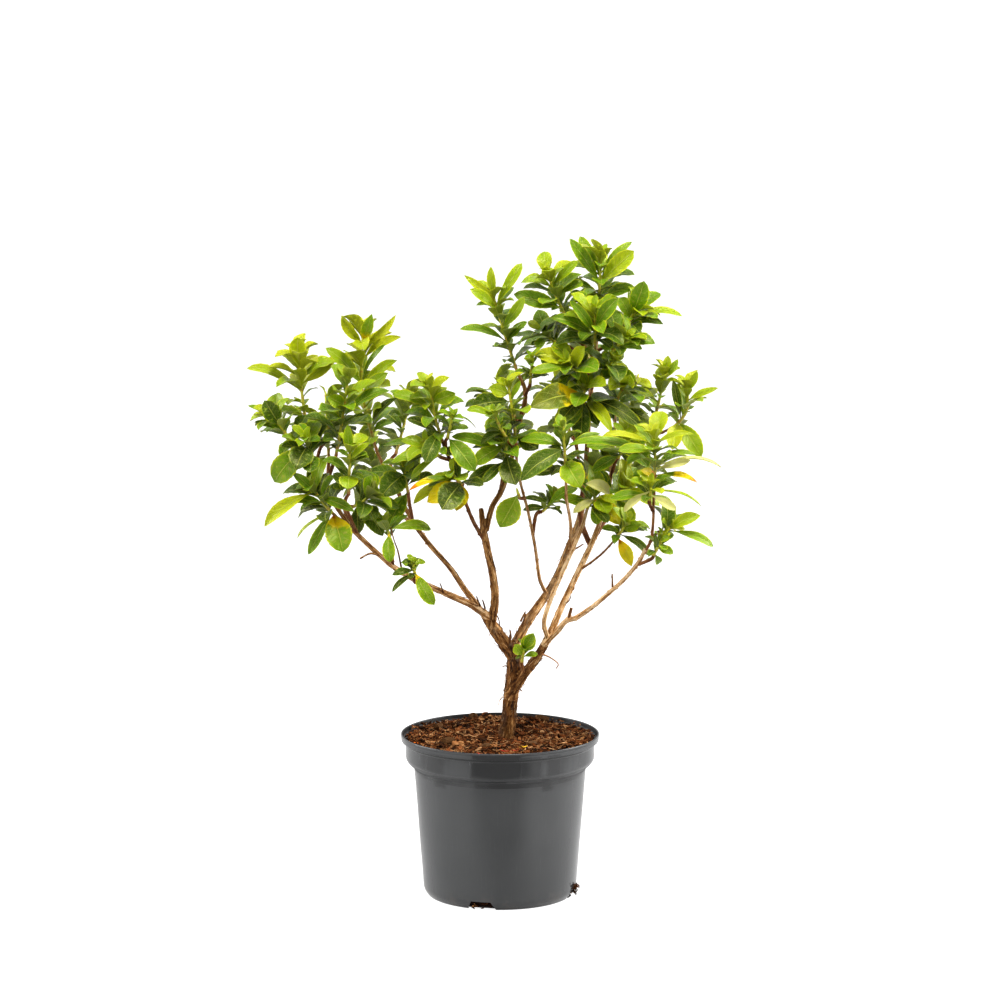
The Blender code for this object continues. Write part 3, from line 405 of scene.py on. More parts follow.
def roundCorners(corners, steps=5):
    # an outline of (radius, height, rounding), with an arc at each rounded corner
    outline = []
    last = len(corners) - 1
    for i, (radius, height, rounding) in enumerate(corners):
        here = Vector((radius, height))
        if not rounding or i in (0, last):
            outline.append(here)
            continue
        before, after = Vector(corners[i - 1][:2]) - here, Vector(corners[i + 1][:2]) - here
        reach = min(rounding, before.length * 0.48, after.length * 0.48)
        start, end = here + before.normalized() * reach, here + after.normalized() * reach
        for k in range(steps + 1):
            t = k / steps
            outline.append(start * (1 - t) ** 2 + here * 2 * t * (1 - t) + end * t**2)
    return outline


def fillSpan(outline, longest):
    # extra points so that no stretch of the outline is longer than this
    filled = [outline[0]]
    for start, end in zip(outline, outline[1:]):
        count = max(1, math.ceil((end - start).length / longest))
        filled += [start.lerp(end, (k + 1) / count) for k in range(count)]
    return filled


def potLines():
    # the radii and heights that the pot and the compost share
    band = pot["rim"] - pot["lipStep"]
    lipFoot = pot["height"] - pot["lipHeight"]
    shoulder = lipFoot - pot["bandHeight"]
    return band, lipFoot, shoulder, band - pot["bandStep"]


def notchCutter(angle):
    # a wedge that opens the corner between the wall and the floor; angle 0 faces the viewer
    below = 1 * mm
    reaches = (pot["footRadius"] - pot["notchDepth"], pot["footRadius"] + 4 * mm)
    slope = (pot["notchFoot"] - pot["notchTop"]) / 2 / pot["notchHeight"]
    foot, top, height = pot["notchFoot"] / 2 + slope * below, pot["notchTop"] / 2, pot["notchHeight"]
    section = [(-foot, -below), (foot, -below), (top, height), (-top, height)]
    turn = Matrix.Rotation(math.radians(angle), 3, "Z")
    verts = [turn @ Vector((x, -reach, z)) for reach in reaches for x, z in section]
    faces = [(0, 1, 2, 3), (7, 6, 5, 4)] + [(i, i + 4, (i + 1) % 4 + 4, (i + 1) % 4) for i in range(4)]
    cutter = addPiece("notchCutter", verts, faces, [])
    work = bmesh.new()
    work.from_mesh(cutter.data)
    bmesh.ops.recalc_face_normals(work, faces=work.faces)
    work.to_mesh(cutter.data)
    work.free()
    return cutter


def makePot():
    band, lipFoot, shoulder, bodyTop = potLines()
    rim, wall, height, foot = pot["rim"], pot["wall"], pot["height"], pot["footRadius"]
    corner, ring = pot["footCorner"], lipFoot - pot["ringDrop"]
    corners = [
        (0, 0.9 * mm, 0), (foot * 0.55, 0.9 * mm, 2 * mm), (foot * 0.6, 0, 2 * mm),
        (foot - corner * 0.7, 0, 2 * mm), (foot, corner, 5 * mm),
        (bodyTop, shoulder - pot["shoulderRise"] / 3, 2.2 * mm),
        (bodyTop + pot["bandStep"] * 0.5, shoulder, 3 * mm), (band, shoulder + pot["shoulderRise"], 3 * mm),
        (band, ring - 1 * mm, 0.4 * mm), (band + pot["ringStep"], ring, 0.4 * mm),
        (band + pot["ringStep"], lipFoot - 0.4 * mm, 0.5 * mm), (rim - 0.5 * mm, lipFoot, 0.9 * mm),
        (rim, height, 1 * mm), (rim - wall * 0.9, height, 0.9 * mm), (rim - wall, lipFoot + wall, 1 * mm),
        (band - wall, lipFoot, 1 * mm), (band - wall, shoulder + pot["shoulderRise"] + wall / 2, 2 * mm),
        (bodyTop - wall, shoulder + wall / 2, 2 * mm), (foot - wall, corner + wall / 2, 3 * mm),
        (foot - corner, pot["floor"], 2 * mm), (0, pot["floor"], 0),
    ]
    outline = fillSpan(roundCorners(corners), 9 * mm)
    around = pot["segments"]
    turn = np.linspace(0, math.tau, around, endpoint=False)
    radius = np.array([max(p[0], 0.05 * mm) for p in outline])[:, None]
    level = np.array([p[1] for p in outline])[:, None]
    verts = np.stack([radius * np.cos(turn), radius * np.sin(turn), level + 0 * turn], axis=2).reshape(-1, 3)
    # thin moulded walls are never quite true
    push = lumps(verts, pot["warpSize"], 3) * pot["warp"] * np.clip(verts[:, 2] / 0.03 - 0.4, 0, 1)
    push *= np.clip((height - verts[:, 2]) / 0.02, 0.25, 1)
    away = np.linalg.norm(verts[:, :2], axis=1, keepdims=True)
    verts[:, :2] += verts[:, :2] / np.maximum(away, 1e-6) * push[:, None] * (away > 0.05)
    body = addPiece("nurseryPot", verts, ringFaces(len(outline), around), [plasticFinish()], sharp=pot["sharp"])
    for index in range(pot["notches"]):
        cutter = notchCutter(pot["firstNotch"] + index * 360 / pot["notches"])
        cut = body.modifiers.new("cut", "BOOLEAN")
        cut.operation, cut.solver, cut.object = "DIFFERENCE", "EXACT", cutter
        applyModifiers(body)
        bpy.data.objects.remove(cutter, do_unlink=True)
    smoothShade(body.data, pot["sharp"])
    settle(body, "pot plastic", "pot")
    print("pot:", len(body.data.polygons), "faces")


makePot()


# The compost

compost = dict(
    top=151 * mm, relief=1.6 * mm, gap=0.3 * mm, around=190, rings=58, crumb=1.1 * mm,
    splinters=3700, splinterLength=(1.9 * mm, 9.5 * mm), fibres=1500, fibreLength=(4 * mm, 16 * mm),
    heap=(2.6 * mm, 0.004, 0.07, 0.026), mound=(1.6 * mm, 0.012), roots=34, notchBits=26,
    trunk=(5.7 * mm, 0.0), trunkClear=7.5 * mm, rimClear=3.4 * mm,
    dark=(10, 4, 0), deep=(48, 24, 9), brown=(86, 45, 16), red=(114, 60, 28), warm=(142, 94, 52),
    pale=(182, 136, 92), grain=(160, 112, 70), hollowShade=(30, 14, 7), lump=[(22, 12, 5), (104, 70, 40)],
    yellow=(214, 160, 30), orange=(212, 98, 22), crimson=(176, 52, 38),
)
# the kinds of bits that stand out: (mark, tone, points round, stations)
bitKinds = dict(
    chunk=(0.0, 0.86, 5, 5), yellow=(0.25, 0.72, 8, 6), orange=(0.5, 0.72, 8, 6), crimson=(0.75, 0.72, 8, 6),
    lump=(1.0, 0.5, 9, 7),
)
# the bits: (kind, across, back, turn, length, width, thickness, lift)
compostBits = [
    ("yellow", 23, -45, 12, 7, 2.6, 0.5, 2.8), ("yellow", 19, -41, 70, 4, 1.6, 0.5, 2.4),
    ("orange", -80, -30, -55, 9, 3.4, 0.7, 3.0), ("crimson", -20, -70, -25, 9, 1.8, 0.6, 3.0),
    ("crimson", 4, -68, 12, 9, 1.4, 0.6, 3.0), ("crimson", 14, -64, 30, 7, 1.2, 0.5, 2.8),
    ("lump", -50, -30, 75, 12, 8, 8, 2.4), ("chunk", -41, -37, 50, 10, 5, 3, 4.6),
    ("chunk", -37, -35, 115, 8, 5, 3, 4.2), ("chunk", -43, -34, 95, 7, 4, 4, 3.0),
    ("chunk", -36, -41, 20, 6, 3, 3, 3.0), ("chunk", -6, -47, 30, 7, 5, 3, 2.6),
    ("lump", 42, 70, 10, 11, 5, 5, 4.0), ("lump", -26, 74, 60, 8, 4, 4, 3.4),
    ("lump", 66, 12, 30, 12, 6, 4, 2.2), ("lump", -12, -48, 10, 12, 7, 4, 2.0),
    ("lump", -60, 34, 80, 14, 6, 4, 2.0), ("lump", 30, -34, 60, 13, 6, 4, 1.8),
]


def compostFinish():
    finish = Finish("barkCompost", Roughness=0.85, Specular_IOR_Level=0.04)
    chance, shape, kind = finish.parts(finish.mark("bitTone"))
    where = finish.space()
    fine = finish.noise(where, 900, 4, 0.65)
    tone = finish.times(fine, 0.5, finish.times(finish.noise(where, 55, 3), 0.35, -0.42))
    finish.ramp(
        finish.math("ADD", tone, chance), (0.0, compost["dark"]), (0.34, compost["deep"]),
        (0.55, compost["brown"]), (0.72, compost["red"]), (0.88, compost["warm"]), (1.0, compost["pale"]),
    )
    # grain runs along each splinter
    grain = finish.streaks(where, 2.2, 1900, 2)
    finish.coat(finish.band(grain, 0.56, 0.78, 0, 0.35), compost["grain"])
    for name in ("yellow", "orange", "crimson"):
        mark = bitKinds[name][0]
        finish.coat(finish.band(kind, mark - 0.15, mark - 0.05), compost[name])
    finish.coat(finish.band(kind, 0.85, 0.95), finish.mix(fine, *compost["lump"]))
    # painted shade in the hollows between crumbs and in the notches
    finish.coat(finish.band(shape, 0.5, 1.0, 0, 0.85), compost["hollowShade"])
    relief = finish.bump(fine, 0.0005, 0.9, finish.bump(grain, 0.0002, 0.7))
    return finish.done(Roughness=finish.times(fine, 0.3, 0.62), Normal=relief)


def compostLevel(x, y):
    # bark is heaped a little at the back and round the trunk
    waves = np.sin(x * 210 + 1.3) * np.cos(y * 170 + 0.4) + 0.7 * np.sin(x * 96 - y * 143 + 2.1)
    high, heapX, heapY, wide = compost["heap"]
    rise = high * np.exp(-((x - heapX) ** 2 / 2 + (y - heapY) ** 2 * 3) / wide**2)
    high, wide = compost["mound"]
    rise = rise + high * np.exp(-((x - compost["trunk"][0]) ** 2 + y**2) / wide**2)
    return compost["top"] + compost["relief"] * (waves + 0.5 * np.sin(x * 333 + y * 290)) + rise


def spotOn(x, y, lift):
    # a place above the bed
    return x, y, float(compostLevel(np.float64(x), np.float64(y))) + lift


def splinter(
    heap, draw, centre, turn, length, width, thick, tilt, roll, tone, kind=0.0, around=4, stations=4, curve=0.2,
):
    # a torn strip of bark: a bent bar that narrows unevenly towards both ends
    share = np.linspace(-0.5, 0.5, stations)
    taper = 1 - np.abs(share * 2) ** draw.uniform(1.5, 4) * draw.uniform(0.4, 0.95)
    taper *= np.array([draw.uniform(0.75, 1.2) for _ in share])
    bend = draw.uniform(-0.22, 0.22) * length * (share * 2) ** 2
    sway = draw.uniform(-curve, curve) * length * np.sin(share * draw.uniform(2, 5))
    corner = np.linspace(0, math.tau, around, endpoint=False) + math.pi / around
    across = np.cos(corner)[None, :] * width / 2 * 1.3 * taper[:, None] + sway[:, None]
    upward = np.sin(corner)[None, :] * thick / 2 * 1.3 * (taper[:, None] * 0.6 + 0.4) + bend[:, None]
    verts = np.stack([share[:, None] * length + 0 * across, across, upward], axis=2).reshape(-1, 3)
    torn = np.array([[draw.uniform(-1, 1) for _ in range(3)] for _ in verts])
    verts += torn * min(width, thick) * 0.12
    place = (
        Matrix.Translation(centre) @ Matrix.Rotation(turn, 4, "Z")
        @ Matrix.Rotation(tilt, 4, "Y") @ Matrix.Rotation(roll, 4, "X")
    )
    grid = np.array(place)
    verts = verts @ grid[:3, :3].T + grid[:3, 3]
    heap.add(verts, ringFaces(stations, around), bitTone=(tone, 0.0, kind))


def compostBody():
    # the filling itself: crumbly on top, following the pot inside, and open to view at the drain notches
    band, _, shoulder, bodyTop = potLines()
    wall, gap, foot = pot["wall"], compost["gap"], pot["footRadius"]
    side = [
        (band - wall - gap, shoulder + pot["shoulderRise"] + wall / 2 + gap),
        (bodyTop - wall - gap, shoulder + wall / 2 + gap),
        (foot - wall - gap, pot["footCorner"] + wall / 2 + gap),
        (foot - pot["footCorner"] - gap, pot["floor"] + gap),
    ]
    fill = side[0][0]
    around = compost["around"]
    shares = np.linspace(0.01, 1, compost["rings"])
    radii = list(fill * shares) + [fill] * 2
    levels = [None] * len(shares) + [compost["top"] - 4 * mm, side[0][1]]
    for start, end in zip(side, side[1:]):
        for k in range(1, 10):
            radii.append(start[0] + (end[0] - start[0]) * k / 9)
            levels.append(start[1] + (end[1] - start[1]) * k / 9)
    radii.append(2 * mm)
    levels.append(side[-1][1])
    turn = np.linspace(0, math.tau, around, endpoint=False)
    verts = []
    for radius, level in zip(radii, levels):
        x, y = radius * np.cos(turn), radius * np.sin(turn)
        z = compostLevel(x, y) if level is None else np.full(around, level)
        verts.append(np.stack([x, y, z], axis=1))
    verts = np.concatenate(verts)
    topCount = len(shares) * around
    crumbs = lumps(verts, 4.5 * mm, 1) * 0.7 + lumps(verts, 2.2 * mm, 2) * 0.5
    verts[:topCount, 2] += crumbs[:topCount] * compost["crumb"]
    inward = 1 - (0.4 + 0.4 * crumbs[topCount:, None]) * 1.4 * mm / 0.07
    verts[topCount:, :2] *= np.clip(inward, 0.95, 1)
    # the first value is lighter on the crumbs, the second paints shade in the hollows between them
    tone = np.stack([0.16 + 0.3 * crumbs, np.clip(-crumbs * 0.7 + 0.2, 0, 0.9), np.zeros(len(verts))], axis=1)
    # at the notches the filling is painted black, as shade
    tone[verts[:, 2] < 0.03, :2] = (-0.2, 1.0)
    return verts, ringFaces(len(radii), around), tone


def makeCompost():
    heap = Heap()
    verts, faces, tone = compostBody()
    heap.add(verts, faces, bitTone=tone)
    draw = random.Random(seeds["compost"])
    reach = pot["rim"] - pot["wall"] - compost["rimClear"]
    trunkX, trunkY = compost["trunk"]
    shortest, longest = compost["splinterLength"]
    for index in range(compost["splinters"]):
        radius = reach * math.sqrt((index + 0.5) / compost["splinters"])
        turn = math.radians(goldenAngle) * index
        x, y = radius * math.cos(turn), radius * math.sin(turn)
        if math.hypot(x - trunkX, y - trunkY) < compost["trunkClear"]:
            continue
        length = draw.uniform(0, 1) ** 1.7 * (longest - shortest) + shortest
        length = min(length, max(4 * mm, (reach + 2.4 * mm - radius) * 2))
        width = min(length * draw.uniform(0.16, 0.5), 3.8 * mm)
        thick = max(0.6 * mm, width * draw.uniform(0.3, 0.6))
        lift = draw.uniform(0.1, 2.3) * mm + max(0, radius - reach + 5 * mm) * 0.3
        splinter(
            heap, draw, spotOn(x, y, lift), draw.uniform(0, math.tau), length, width, thick,
            draw.gauss(0, 0.3), draw.uniform(-0.7, 0.7), 0.02 + 0.96 * draw.random() ** 1.3,
        )
    for _ in range(compost["fibres"]):
        radius, turn = reach * math.sqrt(draw.random()) * 0.97, draw.uniform(0, math.tau)
        length = min(draw.uniform(*compost["fibreLength"]), max(6 * mm, (reach - radius) * 2))
        spot = spotOn(radius * math.cos(turn), radius * math.sin(turn), draw.uniform(1.2, 2.6) * mm)
        thick = draw.uniform(0.35, 0.75) * mm
        splinter(
            heap, draw, spot, draw.uniform(0, math.tau), length, thick * 1.4, thick,
            draw.gauss(0, 0.16), 0, 0.3 + 0.75 * draw.random(), around=3, stations=6, curve=0.5,
        )
    for name, across, back, turn, length, width, thick, lift in compostBits:
        kind, tone, around, stations = bitKinds[name]
        splinter(
            heap, draw, spotOn(across * mm, back * mm, lift * mm), math.radians(turn), length * mm, width * mm,
            thick * mm, 0.1, 0.1, tone, kind, around, stations,
        )

    def spotAt(angle, radius, height):
        return radius * math.cos(angle), radius * math.sin(angle), height

    # fine roots have come out at a drain notch and cling to the pot
    angle = math.radians(pot["firstNotch"])
    for _ in range(compost["roots"]):
        spread = draw.gauss(0, 0.05)
        radius = pot["footRadius"] + draw.uniform(0.6, 2.6) * mm
        length = draw.uniform(3, 8) * mm
        splinter(
            heap, draw, spotAt(angle + spread, radius, draw.uniform(5.0, 13.0) * mm),
            draw.uniform(0, math.tau), length, draw.uniform(0.5, 1.6) * mm, 0.5 * mm,
            draw.uniform(-1.5, 1.5), 0, draw.uniform(0.1, 0.8), stations=6, curve=0.6,
        )
    # roots and crumbs at the drain notches
    for index in range(pot["notches"]):
        angle = math.radians(pot["firstNotch"] - 90 + index * 360 / pot["notches"])
        for _ in range(compost["notchBits"]):
            spread = draw.uniform(-0.15, 0.15)
            radius = pot["footRadius"] - draw.uniform(0.5, 5.5) * mm
            length = draw.uniform(1.6, 4.2) * mm
            splinter(
                heap, draw, spotAt(angle + spread, radius, draw.uniform(2.2, 8.0) * mm),
                draw.uniform(0, math.tau), length, length * 0.4, length * 0.3,
                draw.uniform(-0.7, 0.7), 0, draw.choice((0.0, 0.0, 0.0, 0.1, 0.4, 0.9)),
            )
    piece = heap.piece("barkCompost", [compostFinish()], sharp=38)
    settle(piece, "bark compost", "compost")
    print("compost:", len(piece.data.polygons), "faces")


makeCompost()


# The wood. Each point of a limb is (across, up, back, thickness), in the units of sight

limbs = dict(
    trunk=[
        (6, 120, 0, 14), (6, 146, 0, 14), (6, 158, 0, 15.5), (8, 170, 0, 14), (11, 198, 0, 14),
        (14, 224, 0, 14), (14, 242, 1, 13.5), (12, 252, 2, 12),
    ],
    leftLimb=[(14, 238, 1, 12), (2.5, 255, 2, 12), (-8, 271, 1, 11), (-15, 282, 0, 9)],
    lowLeft=[
        (-7, 276, 1, 8), (-28, 291, -4, 6.6), (-52, 302.5, -10, 6), (-80, 315.5, -18, 5.6),
        (-102.5, 328.5, -24, 5.2), (-124, 346.5, -28, 4.8), (-146, 368, -31, 4.4), (-159, 386, -29, 4),
        (-173, 407, -22, 3.6), (-182, 427, -15, 3.3), (-189, 444, -10, 3), (-191, 456, -8, 2.8),
    ],
    leftInner=[
        (-18, 284, 2, 6.4), (-35, 305.5, 10, 5.6), (-50, 327, 16, 5), (-70, 349, 22, 4.6), (-86, 370, 26, 4.2),
        (-97, 390, 28, 3.9), (-107, 412, 28, 3.5), (-118, 431, 26, 3.1), (-124, 444, 24, 2.8),
    ],
    leftUpright=[
        (-9, 272, 0, 9), (-5, 298, -2, 7.6), (-7, 320, -4, 7.2), (-12, 344, -6, 7), (-16, 364, -8, 6.6),
        (-19, 388, -8, 4.4),
    ],
    centreUpright=[
        (-14, 366, -8, 5.8), (-8, 389, -6, 5.2), (1, 404, -2, 5), (7, 421, 0, 4.7), (13, 443, 2, 4.4),
        (18, 470, 5, 4.4), (25, 494, 8, 4.3), (24, 509, 8, 3.6), (18, 521, 8, 3),
    ],
    midStem=[
        (-13, 352, -6, 4.4), (-26, 374, -12, 3.6), (-35, 396, -16, 3.3), (-45, 424, -18, 3.1),
        (-53, 444, -18, 3), (-57, 454, -18, 2.8),
    ],
    leader=[
        (12, 246, 2, 9.6), (25, 269, 8, 8.8), (38, 288, 16, 8.2), (51, 306, 24, 7.6), (61, 325, 30, 7),
        (70, 348, 36, 6.5), (79, 370, 42, 6.2), (86, 400, 46, 5.4), (87, 430, 45, 4.8), (89, 462, 42, 4.5),
        (91, 494, 37, 4.1), (94, 526, 32, 3.7), (97, 553, 30, 3.3), (98, 575, 28, 2.9),
    ],
    centreStem=[
        (47, 301, 20, 3.8), (40, 316, 14, 3.2), (36, 344, 7, 3), (32, 366, 2, 2.9), (27, 389, -4, 2.7),
        (21, 411, -9, 2.6), (17, 432, -12, 2.5), (16, 450, -14, 2.4),
    ],
    rightLimb=[
        (11, 200, -1, 9.5), (22.5, 219.5, -4, 9), (34.5, 235.5, -8, 8.6), (43, 249.5, -12, 8),
        (48.5, 260.5, -14, 7),
    ],
    rightUpright=[
        (45.5, 254, -13, 6.8), (54.5, 273.5, -14, 6.5), (62, 291, -12, 6), (72, 312, -8, 5.7),
        (82.5, 333.5, -4, 5.4), (93, 355, 2, 5), (100, 374, 6, 4.8), (106, 394, 10, 4.4), (111, 418, 14, 4),
        (113, 444, 14, 3.4), (115, 468, 13, 3), (115, 484, 12, 2.7),
    ],
    rightDarkStem=[(91, 350, 2, 5.6), (83, 369, 12, 5.2), (80, 389, 20, 4.8), (84, 408, 24, 3.2)],
    tanStem=[
        (48.5, 257, -15, 5), (44, 273, -19, 4.2), (47, 288, -20, 4.1), (55, 309, -19, 4.1), (66, 333.5, -17, 4),
        (76.5, 357, -13, 3.8), (83, 373, -8, 3.4), (87, 387, -3, 2.9),
    ],
    frontStem=[(70, 348, -14, 3.4), (70, 374, -22, 2.9), (66, 398, -29, 2.7), (65, 422, -34, 2.4)],
    rightTwigStem=[(79, 326, -5, 2.6), (97, 339, -10, 2.2), (108, 350, -15, 2), (115.5, 359, -18, 1.9)],
    rightSweep=[
        (45, 254, -14, 6), (57.5, 267, -20, 5.5), (66, 277, -24, 5), (76.5, 281, -28, 4.8), (92, 292, -35, 4.5),
        (108.5, 306.5, -40, 4.2), (123.5, 320.5, -44, 4), (137, 337, -46, 3.8), (143.5, 350, -46, 3.4),
    ],
    redStem=[
        (142, 345, -46, 3), (149, 359, -46, 2.8), (151, 378, -46, 2.7), (151.5, 399, -45, 2.5),
        (152.5, 420, -43, 2.4),
    ],
    rightArm=[
        (112, 432, 14, 3.2), (127, 447, 14, 2.8), (144, 457, 12, 2.7), (160, 462, 10, 2.6), (175, 469, 8, 2.4),
    ],
    sweepStub=[(68, 278, -25, 3.4), (71, 290, -27, 2.8)],
    sweepSpur=[(111.5, 308.5, -40, 2.2), (111, 325, -41, 1.3)],
    lowLeftSpur=[(-116, 340.5, -27, 2.6), (-128, 344.5, -30, 2), (-139, 339.5, -32, 1.6)],
    forkSpur=[(10, 250, 0, 3.4), (10, 261, -3, 2)],
    leaderSpur=[(22, 268, 6, 3.2), (26, 282, 4, 1.6)],
    leaderTwig=[(67, 341, 33, 2.2), (78, 347, 26, 1.6), (84, 351, 22, 1.2)],
    deadTendril=[(36, 244, -10, 2.2), (48, 241, -16, 1.6), (58, 234, -18, 1.2), (56, 229, -18, 1.1)],
)

# where the sky shows through the crown: (across, up, radius); no leaf of a spiral crosses them
openings = [
    (-173, 516, 8), (-184, 495, 8), (-12, 532, 13), (136, 534, 12), (147, 522, 8), (43, 480, 9), (-75, 431, 8),
    (6, 498, 6), (173, 353, 8), (170, 498, 6), (203, 485, 8), (-17, 517, 8), (-23, 473, 7), (-91, 469, 7),
    (-101, 440, 5), (-229, 452, 8), (-63, 433, 6), (-30, 404, 6), (-236, 497, 6), (193, 478, 7), (141, 384, 8),
    (-13, 556, 6), (-13, 579, 6), (32, 625, 5), (63, 640, 6), (149, 566, 5),
]

# The leafy shoots: limb, base, tip, number of leaves, length of a leaf, and the leaves that are listed one by
# one. A shoot without a base stands on the end of its limb, one with a base on its own twig. A pick is (place
# on the stem, tip, width, look, tone), where look is 0 for a blade that faces the sky, 90 for one that faces
# the viewer.


def shootOn(limb, base, tip, leaves, blade, picks=(), via=None):
    return dict(limb=limb, base=base, tip=tip, leaves=leaves, blade=blade, picks=picks, via=via)


